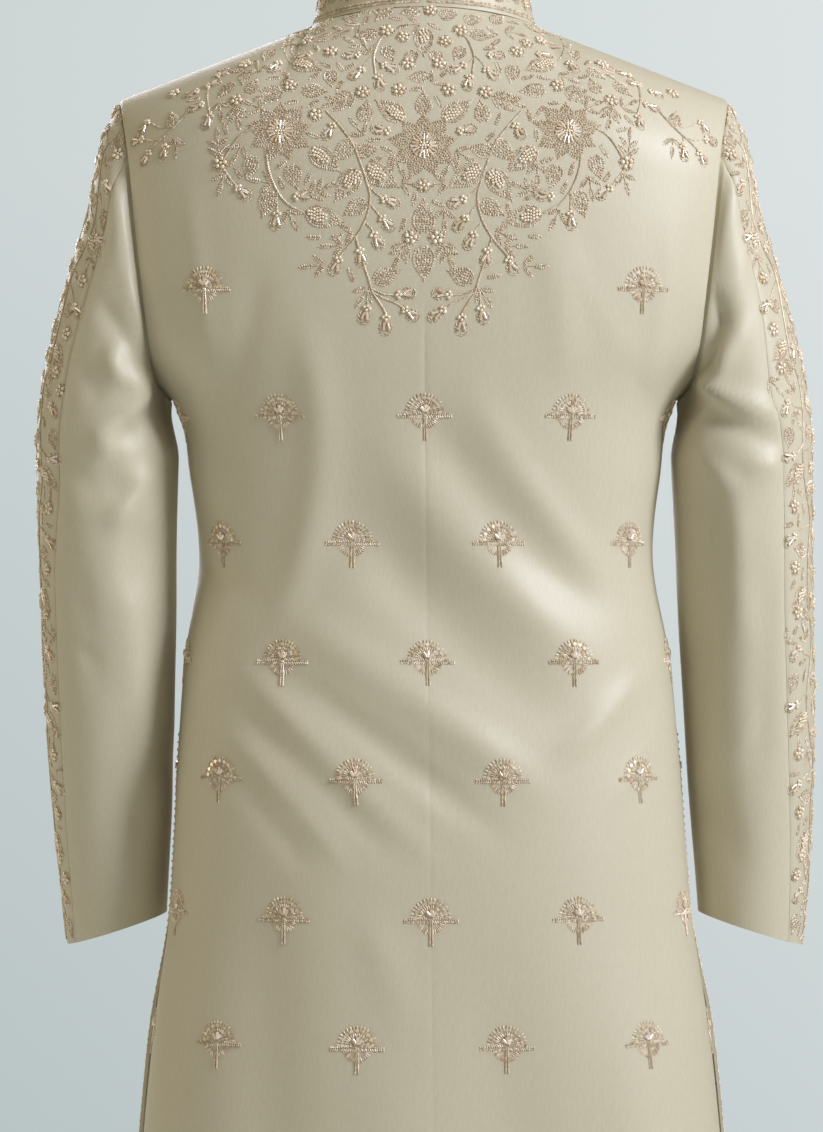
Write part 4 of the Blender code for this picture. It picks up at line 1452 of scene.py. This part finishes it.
# The running pattern down a sleeve in millimetres: one length of it, its columns, how often it is repeated,
# where it starts and how much higher every second column does. Its motifs lie across from the back seam
# and down from the start.
SLEEVE_REPEAT = 188
SLEEVE_WIDTH = 62
SLEEVE_COLUMNS = 3
SLEEVE_REPEATS = 5
SLEEVE_START = 6
SLEEVE_SHIFT = -60
SLEEVE_MOTIFS = motifs_of(
    {
        "beaded leaf": ((40, 34, 238, 24), (22, 84, 118, 24), (40, 132, 236, 24), (24, 176, 126, 22)),
        "stitched leaf": (
            (30, 12, 60, 16), (30, 58, 262, 16), (30, 104, 300, 16), (26, 148, 78, 16),
            (52, 86, 330, 16), (9, 52, 158, 15), (52, 176, 350, 14),
        ),
        "blossom": (
            (13, 6, 0, 5.7), (53, 62, 20, 5.7), (10, 114, 0, 5.7), (56, 118, 40, 5.7),
            (10, 160, 0, 5.7),
        ),
        "bud": (
            (14, 32, 132, 14.8), (52, 12, 246, 14.8), (10, 76, 96, 13.7), (48, 100, 268, 14.8),
            (11, 136, 118, 14.8), (46, 160, 220, 14.8), (34, 180, 190, 14.8),
        ),
        "sprig": ((57, 36, 200, 17), (8, 92, 190, 14), (58, 138, 190, 16), (24, 28, 20, 12)),
    }
)
SLEEVE_STEMS = (
    ((28, 0), (36, 22), (30, 46), (22, 72), (27, 100), (36, 124), (30, 152), (28, 188)),
    ((35, 16), (44, 16), (50, 14)), ((31, 40), (22, 38), (16, 34)), ((24, 66), (16, 72), (12, 75)),
    ((28, 98), (38, 96), (46, 99)), ((34, 128), (22, 130), (14, 134)), ((30, 150), (40, 152), (45, 158)),
    ((22, 72), (40, 70), (52, 64)),
)


def sew_motifs(work, field, motifs, across=0.0, down=0.0, flip=1.0):
    rows = ((across + flip * motif.across, down + motif.down, motif) for motif in motifs)
    for spot, motif in spots_on(field, rows):
        MOTIFS[motif.kind](work, turned(spot, flip * motif.turn), motif.size)


# Half the width of the yoke's needlework at heights down from the neck, and the space it keeps there
Reach = namedtuple("Reach", "down reach spare")
YOKE_REACH = rows_of(
    Reach,
    (-12, 84, 1.0), (17, 116, 1.0), (36, 160, 1.0), (55, 178, 1.1), (78, 158, 1.0), (96, 158, 1.0),
    (128, 138, 1.0), (150, 96, 1.1), (172, 78, 1.5), (190, 64, 1.7), (224, 34, 1.8),
)


def yoke_room(name, down):
    """How far out the yoke reaches, or the space it keeps, at a height down from the neck."""
    downs = [row.down for row in YOKE_REACH]
    return float(np.interp(down, downs, [getattr(row, name) for row in YOKE_REACH]))


def sew_yoke(work, panel):
    for half in (1.0, -1.0):
        field = Yoke(work.ground, panel, half)
        sew_motifs(work, field, YOKE)
        for stem in YOKE_STEMS:
            couch_stem(work, field, stem)
    sew_motifs(work, Yoke(work.ground, panel, 1.0), MEDALLION)
    ends = (YOKE_REACH[0].down, YOKE_REACH[-1].down)
    for half in (1.0, -1.0):
        field = Yoke(work.ground, panel, half)
        places = places_to_fill(work, ends, lambda at: yoke_room("reach", at))
        fill_gaps(work, [(field.spot(*place), yoke_room("spare", place[1])) for place in places])


def sew_buttis(work, panel, radius, pitch):
    for half in (1.0, -1.0):
        field = Skirt(work.ground, panel_of(panel, half)["skin"], half)
        for row in BUTTI_ROWS:
            for place in row.places:
                if place == 0 and (half < 0 or panel == "front"):
                    continue
                for (spot,) in spots_on(field, [(place * pitch, row.height)]):
                    sew_butti(work, spot, radius)


def sew_sleeve(work, arm, room):
    grid = sleeve_piece(arm, "top")[:, ::-1]
    field = Strip(work.ground, grid)
    for column in range(SLEEVE_COLUMNS):
        odd = column % 2
        flip = -1.0 if odd else 1.0
        start = SLEEVE_WIDTH * (column + odd)
        for repeat in range(SLEEVE_REPEATS):
            down = SLEEVE_START + SLEEVE_SHIFT * odd + repeat * SLEEVE_REPEAT
            sew_motifs(work, field, SLEEVE_MOTIFS, start, down, flip)
            for stem in SLEEVE_STEMS:
                couch_stem(work, field, [(start + flip * a, down + d) for a, d in stem])
    width = 1000 * max(field.point_at(0.0, down)[1] for down in (60.0, 200.0, 400.0, 600.0))
    places = places_to_fill(work, (4.0, field.down[-1] / MM - 4.0), lambda at: width)
    fill_gaps(work, list(spots_on(field, [(*place, room) for place in places])))


# The collar's pattern in millimetres: its pitch, where its ropes and its middle lie, and a paisley's height
COLLAR_PITCH = 31.0
COLLAR_ROPES = (41.0, 3.6)
COLLAR_MIDDLE = 23.0
PAISLEY_HEIGHT = 20.0


def sew_paisley(work, spot, height):
    """A curled drop outlined in stitches, with a pearl heart."""
    for inset in (1.0, 0.72):
        count = int(2.4 * height * inset / 1.6)
        for k in range(count):
            turn = 2 * math.pi * k / count
            round_part = 0.5 - 0.5 * math.cos(turn)
            bulge = 0.30 * math.sin(turn) * (1.15 - 0.85 * round_part) + 0.16 * round_part**3
            x = inset * height * bulge
            y = inset * height * (0.5 * round_part) * 1.9 - 0.36 * height * inset
            work.grain(spot, x, y, math.degrees(turn) + 40, 2.4, 1.0)
    for x, y in ((0.0, -2.6), (-2.1, 0.4), (2.1, 0.4), (0.2, 3.2), (1.2, 6.0)):
        work.pearl(spot, x, y, 2.5)


ROPE_PITCH = 1.7


def sew_rope(work, field, down, start, end):
    """Two rows of slanting stitches that meet like a plaited rope."""
    across = start
    while across < end:
        for (spot,) in spots_on(field, [(across, down)]):
            for way in (-1, 1):
                work.grain(spot, 0.0, way * 1.15, 90 + way * 38, 3.2, 1.4)
        across += ROPE_PITCH


def sew_collar(work):
    grid = collar_grid()[::-1]
    middle = grid.shape[1] // 2
    for half in (grid[:, middle::-1], grid[:, middle:]):
        field = Strip(work.ground, half)
        length = arc_lengths(half)[0][6, -1] / MM
        for down in COLLAR_ROPES:
            sew_rope(work, field, down, 3.2, length)
        across = 16.0
        side = 1
        while across < length - 8:
            for (spot,) in spots_on(field, [(across, COLLAR_MIDDLE)]):
                upright = turned(moved(spot, 0.0, -3.0 * side), 0.0 if side > 0 else 180.0)
                sew_paisley(work, upright, PAISLEY_HEIGHT)
            between = COLLAR_PITCH / 2
            blossoms = ((between, 15.0), (between - 3, 31.0))
            for (spot,) in spots_on(field, [(across + extra, down) for extra, down in blossoms]):
                sew_blossom(work, spot, 4.8)
            leaflets = ((9.0, 10.0, 200.0), (-9.0, 34.0, 30.0), (between + 3, COLLAR_MIDDLE, 75.0))
            for spot, turn in spots_on(field, [(across + extra, *rest) for extra, *rest in leaflets]):
                sew_leaflet(work, spot, 0.0, 0.0, turn, 6.5)
            across += COLLAR_PITCH
            side = -side


# The slit's border: its top and pitch in metres, its two edge rows and its middle in mm from the slit
BORDER_TOP = -0.540
BORDER_PITCH = 0.0019
BORDER_EDGES = ((2.2, 35.0), (9.4, -35.0))
BORDER_MIDDLE = 5.8


def sew_slit_border(work, panel):
    """A narrow beaded border down a front's side edge, from the hip to the hem."""
    for half in (1.0, -1.0):
        field = Skirt(work.ground, panel_of(panel, half)["skin"], half, from_side=True)
        height = BORDER_TOP
        count = 0
        while height > HEM_HEIGHT + 0.004:
            for across, lean in BORDER_EDGES:
                spot = field.spot(across, height)
                work.grain(spot, 0.0, 0.0, lean, 3.1, 1.4)
            if count % 3 == 0:
                spot = field.spot(BORDER_MIDDLE, height)
                work.pearl(spot, 0.0, 0.0, 2.6)
                for turn in (-50.0, 50.0):
                    x = math.sin(math.radians(turn)) * 2.4
                    work.grain(spot, x, 2.2, turn, 2.6, 1.0)
                    work.grain(spot, x, -2.2, 180 - turn, 2.6, 1.0)
            height -= BORDER_PITCH
            count += 1


# --- sewing it down ---------------------------------------------------------------------------


ROUND_SIDES = {"pearl": (6, 4), "cord": (4, 3)}
TUBE_SIDES = {"bugle": 6, "sequin": 8}


def bead_shape(kind):
    """One bead or stitch, a unit long, wide and high, with its length on X: corners and triangles."""
    bpy.ops.object.select_all(action="DESELECT")
    if kind in ROUND_SIDES:
        segments, rings = ROUND_SIDES[kind]
        bpy.ops.mesh.primitive_uv_sphere_add(segments=segments, ring_count=rings, radius=0.5)
    elif kind in TUBE_SIDES:
        bpy.ops.mesh.primitive_cylinder_add(vertices=TUBE_SIDES[kind], radius=0.5, depth=1.0)
    else:
        bpy.ops.mesh.primitive_cone_add(vertices=4, radius1=0.5, depth=0.5, location=(0.0, 0.0, 0.25))
    bead = bpy.context.active_object
    bead.data.transform(bead.matrix_world)
    bpy.ops.object.mode_set(mode="EDIT")
    if kind == "grain":
        bpy.ops.mesh.select_all(action="DESELECT")
        bpy.ops.mesh.select_mode(type="FACE")
        bpy.ops.object.mode_set(mode="OBJECT")
        for face in bead.data.polygons:
            face.select = len(face.vertices) == 4
        bpy.ops.object.mode_set(mode="EDIT")
        bpy.ops.mesh.poke(offset=0.5)
    bpy.ops.mesh.select_all(action="SELECT")
    bpy.ops.mesh.quads_convert_to_tris()
    bpy.ops.object.mode_set(mode="OBJECT")
    corners = np.array([vertex.co[:] for vertex in bead.data.vertices])
    triangles = np.array([face.vertices[:] for face in bead.data.polygons])
    mesh = bead.data
    bpy.data.objects.remove(bead)
    bpy.data.meshes.remove(mesh)
    if kind != "sequin":
        corners = corners[:, [2, 0, 1]]
    return corners, triangles


def sew_down(name, work, kinds, materials):
    """Every bead and stitch of the given kinds as one piece."""
    if not any(work.marks[kind] for kind in kinds):
        raise RuntimeError(f"nothing was sewn for {name}")
    points, faces, tones, indices = [], [], [], []
    count = 0
    for index, kind in enumerate(kinds):
        marks = work.marks[kind]
        if not marks:
            continue
        corners, triangles = bead_shape(kind)
        place = np.array([mark.place for mark in marks])
        way = np.array([mark.way for mark in marks])
        normal = np.array([mark.normal for mark in marks])
        size = np.array([(m.length, m.width, m.height) for m in marks])
        across = np.cross(normal, way)
        local = corners[None] * size[:, None]
        axes = np.stack([way, across, normal], axis=1)
        points.append((place[:, None] + np.einsum("nvk,nkd->nvd", local, axes)).reshape(-1, 3))
        shifts = np.arange(len(marks)) * len(corners) + count
        faces.append((triangles[None] + shifts[:, None, None]).reshape(-1, 3))
        tones.append(np.repeat([m.tone for m in marks], len(corners)))
        indices.append(np.full(len(marks) * len(triangles), index))
        count += len(marks) * len(corners)
    points, faces = np.concatenate(points), np.concatenate(faces)
    mesh = bpy.data.meshes.new(name)
    mesh.vertices.add(len(points))
    mesh.vertices.foreach_set("co", points.reshape(-1).astype(np.float32))
    mesh.loops.add(faces.size)
    mesh.loops.foreach_set("vertex_index", faces.reshape(-1).astype(np.int32))
    mesh.polygons.add(len(faces))
    mesh.polygons.foreach_set("loop_start", np.arange(0, faces.size, 3, dtype=np.int32))
    mesh.polygons.foreach_set("material_index", np.concatenate(indices).astype(np.int32))
    mesh.update(calc_edges=True)
    tone = mesh.attributes.new("tone", "FLOAT", "POINT")
    tone.data.foreach_set("value", np.concatenate(tones).astype(np.float32))
    for kind in kinds:
        mesh.materials.append(materials[kind])
    piece = bpy.data.objects.new(name, mesh)
    bpy.context.scene.collection.objects.link(piece)
    select_only(piece)
    smooth(BEAD_SMOOTH)
    declare(piece, "embroidered_satin")


def sew_down_both(name, work, beads, materials, threads=("grain", "cord")):
    """The beads of an area as one piece and its threads as another."""
    sew_down(name + "_beads", work, beads, materials)
    sew_down(name + "_thread", work, threads, materials)


# --- studio ----------------------------------------------------------------------------------

VIEW_DISTANCE = 3.1
VIEW_X = 0.0095
VIEW_Z = -0.411
FRAME_HEIGHT = 0.865
SENSOR = 36.0
FLOOR_HEIGHT = -1.5
FLOOR_RADIUS = 4.0
# Strength of the floor's painted glow, which lights the coat faintly from below though the floor is no lamp
FLOOR_GLOW = 0.14
FLOOR_SIDES = 96
WALL_GLOW = "f6e8c8"
AIM = Vector((0.0, 0.0, -0.45))

Lamp = namedtuple("Lamp", "name place size hex")
LAMPS = rows_of(
    Lamp,
    ("key", (-2.1, 1.5, 1.0), 0.9, "ecefff"),
    ("fill", (1.2, 3.0, 0.1), 2.2, "fff4dc"),
    ("overhead", (-0.4, 0.8, 2.2), 1.5, "f6f8ff"),
    ("front", (0.9, -3.0, 0.6), 2.0, "f4f5ff"),
    ("side", (3.2, 0.35, 0.3), 1.4, "fff6e4"),
)


def make_camera():
    """A long lens square behind the coat, far enough back to see it almost without perspective."""
    lens = SENSOR / 2 / (FRAME_HEIGHT / 2 / VIEW_DISTANCE)
    place = (VIEW_X, VIEW_DISTANCE, VIEW_Z)
    bpy.ops.object.camera_add(location=place, rotation=(math.pi / 2, 0.0, math.pi))
    camera = bpy.context.active_object
    camera.data.lens = lens
    camera.data.sensor_width = SENSOR
    bpy.context.scene.camera = camera


def make_lamps(studio):
    for lamp in LAMPS:
        aim = (AIM - Vector(lamp.place)).to_track_quat("-Z", "Y").to_euler()
        bpy.ops.object.light_add(type="AREA", location=lamp.place, rotation=aim)
        light = bpy.context.active_object
        light.name = lamp.name
        light.data.size = lamp.size
        light.data.energy = getattr(studio, lamp.name + "_power")
        light.data.color = colour_from_hex(lamp.hex)[:3]


def make_floor(studio):
    """A wide painted floor, rolled out well below the hem, that glows faintly in its paler colour: a
    painted glow that lights the coat a little from below.
    """
    bpy.ops.object.select_all(action="DESELECT")
    bpy.ops.mesh.primitive_circle_add(vertices=FLOOR_SIDES, radius=FLOOR_RADIUS, fill_type="NGON")
    floor = bpy.context.active_object
    floor.name = "studio_floor"
    for vertex in floor.data.vertices:
        vertex.co.z = FLOOR_HEIGHT
    # Emulsion paint on board: matt, with the faint clouding that a roller leaves, and a faint painted glow
    # in its paler colour that stands in for light bounced up from below
    material, tree, shader = new_material("painted studio floor")
    place = add_node(tree, "ShaderNodeTexCoord").outputs["Object"]
    cloud = noise(tree, place, 3.0, Detail=3.0)
    look = {
        "Base Color": shade_between(tree, cloud, studio.floor_dark, studio.floor_paint_and_glow),
        "Roughness": 0.7,
        "Emission Color": studio.floor_paint_and_glow,
        "Emission Strength": FLOOR_GLOW,
    }
    set_inputs(shader, look)
    floor.data.materials.append(material)


def map_range(tree, value, low, high, to_low=0.0, to_high=1.0):
    """A value mapped from one range to another."""
    links = {"Value": value, "From Min": low, "From Max": high, "To Min": to_low, "To Max": to_high}
    return add_node(tree, "ShaderNodeMapRange", links=links).outputs["Result"]


def make_sky(studio):
    """A pale cool wall all round, a little brighter above and towards the key light, which lights
    less than it shows."""
    world = bpy.data.worlds.new("studio wall")
    bpy.context.scene.world = world
    world.use_nodes = True
    tree = world.node_tree
    tree.nodes.clear()
    way = add_node(tree, "ShaderNodeTexCoord").outputs["Generated"]
    parts = add_node(tree, "ShaderNodeSeparateXYZ", links={"Vector": way})
    height = map_range(tree, parts.outputs["Z"], -0.14, 0.10)
    across = map_range(tree, parts.outputs["X"], 0.10, -0.10)
    shade = shade_between(tree, mix(tree, 0.45, height, across), studio.wall_dark, studio.wall_light)
    seen = add_node(tree, "ShaderNodeLightPath").outputs["Is Camera Ray"]
    tint = add_node(tree, "ShaderNodeMix", {"data_type": "RGBA"}, {"Factor": seen})
    tint.inputs[6].default_value = colour_from_hex(WALL_GLOW)
    tree.links.new(shade, tint.inputs[7])
    behind = map_range(tree, parts.outputs["Y"], -0.4, 0.6, 0.34, 0.13)
    links = {"Color": tint.outputs[2], "Strength": mix(tree, seen, behind, 1.0)}
    background = add_node(tree, "ShaderNodeBackground", links=links)
    output = add_node(tree, "ShaderNodeOutputWorld")
    tree.links.new(background.outputs["Background"], output.inputs["Surface"])


# --- what a user can change --------------------------------------------------------------------


def swatch(name, description, code):
    """A colour setting with its default from an sRGB hex code."""
    return FloatVectorProperty(
        name=name,
        description=description,
        default=colour_from_hex(code),
        size=4,
        min=0.0,
        max=1.0,
        subtype="COLOR",
    )


def length(name, description, default, low, high):
    """A size setting in metres."""
    return FloatProperty(
        name=name, description=description, default=default, min=low, max=high, precision=4, unit="LENGTH"
    )


def power(name, description, default):
    """A lamp's power in watts."""
    return FloatProperty(name=name, description=description, default=default, min=0.0, unit="POWER")


class SherwaniCloth(bpy.types.PropertyGroup):
    satin_light: swatch("Satin, light", "The satin where its twill catches the light", "cbc4aa")
    satin_dark: swatch("Satin, dark", "The satin between its twill lines", "bab297")
    wall: length("Cloth", "Thickness of the cloth with the canvas fused to it", WALL, 0.001, 0.003)
    collar_wall: length("Collar", "Thickness of the stiffened collar", COLLAR_WALL, 0.002, 0.004)


class SherwaniNeedlework(bpy.types.PropertyGroup):
    pearl_light: swatch("Pearls, light", "The palest pearls", "f6ead2")
    pearl_dark: swatch("Pearls, dark", "The deepest pearls", "dfc9a6")
    bugle_light: swatch("Tubes, light", "The palest cut tubes", "fff3e2")
    bugle_dark: swatch("Tubes, dark", "The deepest cut tubes", "dcc3a2")
    sequin_light: swatch("Sequins, light", "The palest sequins", "fbefd8")
    sequin_dark: swatch("Sequins, dark", "The deepest sequins", "e8d4ae")
    grain_light: swatch("Stitches, light", "The palest stitches", "f2e6ce")
    grain_dark: swatch("Stitches, dark", "The deepest stitches", "b89c78")
    cord_light: swatch("Cord, light", "The palest turns of the cord", "dccfb4")
    cord_dark: swatch("Cord, dark", "The deepest turns of the cord", "b9a585")
    butti_radius: length("Motif radius", "Radius of a scattered motif's fan", BUTTI_RADIUS, 0.008, 0.02)
    butti_pitch: length("Motif pitch", "Distance between the motifs of a row", BUTTI_PITCH, 0.08, 0.16)
    sleeve_room: FloatProperty(
        name="Sleeve room",
        description="How much more space than usual the small motifs keep on the sleeves",
        default=1.3,
        min=0.9,
        max=3.0,
        subtype="FACTOR",
    )


class SherwaniButtons(bpy.types.PropertyGroup):
    gilt_light: swatch("Gilt, rubbed", "The gilt where it is rubbed bright", "d8b67c")
    gilt_dark: swatch("Gilt, dark", "The gilt in its hollows", "8a6838")
    radius: length("Radius", "Radius of a button", BUTTON_RADIUS, 0.005, 0.0081)
    rise: length("Rise", "Height of a button's crown over its seat", BUTTON_RISE, 0.002, 0.0056)


class SherwaniStudio(bpy.types.PropertyGroup):
    key_power: power("Key", "The large light high on the coat's right", 95.0)
    fill_power: power("Fill", "The broad weak light beside the camera", 8.0)
    overhead_power: power("Overhead", "The light over the shoulders", 10.0)
    front_power: power("Front", "The light on the coat's front", 66.0)
    side_power: power("Side", "The light on the coat's left side", 18.0)
    wall_light: swatch("Wall, light", "The wall above and near the key light", "dce2e2")
    wall_dark: swatch("Wall, dark", "The wall below and away from it", "b9c4c5")
    # The floor's paler paint, and also the colour of its painted glow
    floor_paint_and_glow: swatch("Floor, light", "The floor's paler paint", "e2e6e6")
    floor_dark: swatch("Floor, dark", "The floor's deeper paint", "d9dede")


# --- operators ---------------------------------------------------------------------------------


class SHERWANI_OT_panels(bpy.types.Operator):
    """Cut the back and front panels in satin, with their folds and seams"""

    bl_idname = "sherwani.panels"
    bl_label = "Panels"

    def execute(self, context):
        cloth = context.scene.sherwani_cloth
        make_panels(coat_satin(cloth), cloth.wall)
        return {"FINISHED"}


class SHERWANI_OT_sleeves(bpy.types.Operator):
    """Cut both parts of each sleeve in satin, with their creases"""

    bl_idname = "sherwani.sleeves"
    bl_label = "Sleeves"

    def execute(self, context):
        cloth = context.scene.sherwani_cloth
        make_sleeves(coat_satin(cloth), cloth.wall)
        return {"FINISHED"}


class SHERWANI_OT_collar(bpy.types.Operator):
    """Make the stand collar in stiffened satin"""

    bl_idname = "sherwani.collar"
    bl_label = "Collar"

    def execute(self, context):
        cloth = context.scene.sherwani_cloth
        make_collar(coat_satin(cloth), cloth.collar_wall)
        return {"FINISHED"}


class SHERWANI_OT_buttons(bpy.types.Operator):
    """Set the gilt buttons down the front"""

    bl_idname = "sherwani.buttons"
    bl_label = "Buttons"

    def execute(self, context):
        buttons = context.scene.sherwani_buttons
        make_buttons(gilt_brass(buttons.gilt_light, buttons.gilt_dark), buttons.radius, buttons.rise)
        return {"FINISHED"}


class SHERWANI_OT_yokes(bpy.types.Operator):
    """Embroider the yoke of the back and of the front"""

    bl_idname = "sherwani.yokes"
    bl_label = "Yokes"

    def execute(self, context):
        finishes = needle_finishes(context.scene.sherwani_needlework)
        for panel, seed in (("back", 11), ("front", 12)):
            work = Work(body_ground(panel), seed)
            sew_yoke(work, panel)
            sew_down_both(f"yoke_{panel}", work, ("pearl", "bugle"), finishes)
        return {"FINISHED"}


class SHERWANI_OT_buttis(bpy.types.Operator):
    """Scatter the small fan motifs over the back and the front"""

    bl_idname = "sherwani.buttis"
    bl_label = "Scattered motifs"

    def execute(self, context):
        needlework = context.scene.sherwani_needlework
        finishes = needle_finishes(needlework)
        for panel, seed in (("back", 21), ("front", 22)):
            work = Work(body_ground(panel), seed)
            sew_buttis(work, panel, needlework.butti_radius / MM, needlework.butti_pitch / MM)
            sew_down_both(f"buttis_{panel}", work, ("bugle", "sequin"), finishes)
        return {"FINISHED"}


class SHERWANI_OT_slit_border(bpy.types.Operator):
    """Sew the narrow beaded border down the side slits"""

    bl_idname = "sherwani.slit_border"
    bl_label = "Slit border"

    def execute(self, context):
        finishes = needle_finishes(context.scene.sherwani_needlework)
        work = Work(body_ground("front"), 31)
        sew_slit_border(work, "front")
        sew_down("slit_border", work, ("pearl", "grain"), finishes)
        return {"FINISHED"}


class SHERWANI_OT_sleeve_work(bpy.types.Operator):
    """Embroider the upper part of each sleeve from its head to its cuff"""

    bl_idname = "sherwani.sleeve_work"
    bl_label = "Sleeve embroidery"

    def execute(self, context):
        needlework = context.scene.sherwani_needlework
        finishes = needle_finishes(needlework)
        for arm, seed in (("left", 41), ("right", 42)):
            work = Work(arm_ground(arm), seed)
            sew_sleeve(work, arm, needlework.sleeve_room)
            sew_down_both(f"sleeve_{arm}", work, ("pearl", "bugle"), finishes)
        return {"FINISHED"}


class SHERWANI_OT_collar_work(bpy.types.Operator):
    """Embroider the collar between its two rope edges"""

    bl_idname = "sherwani.collar_work"
    bl_label = "Collar embroidery"

    def execute(self, context):
        finishes = needle_finishes(context.scene.sherwani_needlework)
        ground = Ground([collar_grid()], lambda place: np.array([0.0, 0.0, place[2]]))
        work = Work(ground, 51)
        sew_collar(work)
        sew_down_both("collar", work, ("pearl",), finishes, ("grain",))
        return {"FINISHED"}


class SHERWANI_OT_stage(bpy.types.Operator):
    """Set up the floor, the wall, the lights and the camera"""

    bl_idname = "sherwani.stage"
    bl_label = "Studio"

    def execute(self, context):
        studio = context.scene.sherwani_studio
        context.scene.view_settings.view_transform = "Standard"
        make_camera()
        make_lamps(studio)
        make_floor(studio)
        make_sky(studio)
        if context.scene.camera is None:
            raise RuntimeError("the studio has no camera")
        return {"FINISHED"}


class SHERWANI_PT_dressing(bpy.types.Panel):
    """The coat's pieces in the order that they are made, with their settings"""

    bl_idname = "SHERWANI_PT_dressing"
    bl_label = "Sherwani coat"
    bl_space_type = "VIEW_3D"
    bl_region_type = "UI"
    bl_category = "Sherwani"

    def draw(self, context):
        scene = context.scene
        for title, group, makers in PARTS:
            box = self.layout.box()
            box.label(text=title)
            for name in type(getattr(scene, group)).__annotations__:
                box.prop(getattr(scene, group), name)
            for maker in makers:
                box.operator(maker.bl_idname)


PARTS = (
    ("Cloth", "sherwani_cloth", (SHERWANI_OT_panels, SHERWANI_OT_sleeves, SHERWANI_OT_collar)),
    ("Buttons", "sherwani_buttons", (SHERWANI_OT_buttons,)),
    (
        "Needlework",
        "sherwani_needlework",
        (
            SHERWANI_OT_yokes,
            SHERWANI_OT_buttis,
            SHERWANI_OT_slit_border,
            SHERWANI_OT_sleeve_work,
            SHERWANI_OT_collar_work,
        ),
    ),
    ("Studio", "sherwani_studio", (SHERWANI_OT_stage,)),
)
GROUPS = {
    "sherwani_cloth": SherwaniCloth,
    "sherwani_buttons": SherwaniButtons,
    "sherwani_needlework": SherwaniNeedlework,
    "sherwani_studio": SherwaniStudio,
}
CLASSES = (*GROUPS.values(), *(maker for part in PARTS for maker in part[2]), SHERWANI_PT_dressing)


def register():
    for cls in CLASSES:
        bpy.utils.register_class(cls)
    for name, group in GROUPS.items():
        setattr(bpy.types.Scene, name, PointerProperty(type=group))


def unregister():
    for name in GROUPS:
        delattr(bpy.types.Scene, name)
    for cls in reversed(CLASSES):
        bpy.utils.unregister_class(cls)


def main():
    register()
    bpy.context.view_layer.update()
    bpy.ops.sherwani.panels()
    bpy.ops.sherwani.sleeves()
    bpy.ops.sherwani.collar()
    bpy.ops.sherwani.buttons()
    bpy.ops.sherwani.yokes()
    bpy.ops.sherwani.buttis()
    bpy.ops.sherwani.slit_border()
    bpy.ops.sherwani.sleeve_work()
    bpy.ops.sherwani.collar_work()
    bpy.ops.sherwani.stage()


if __name__ == "__main__":
    main()
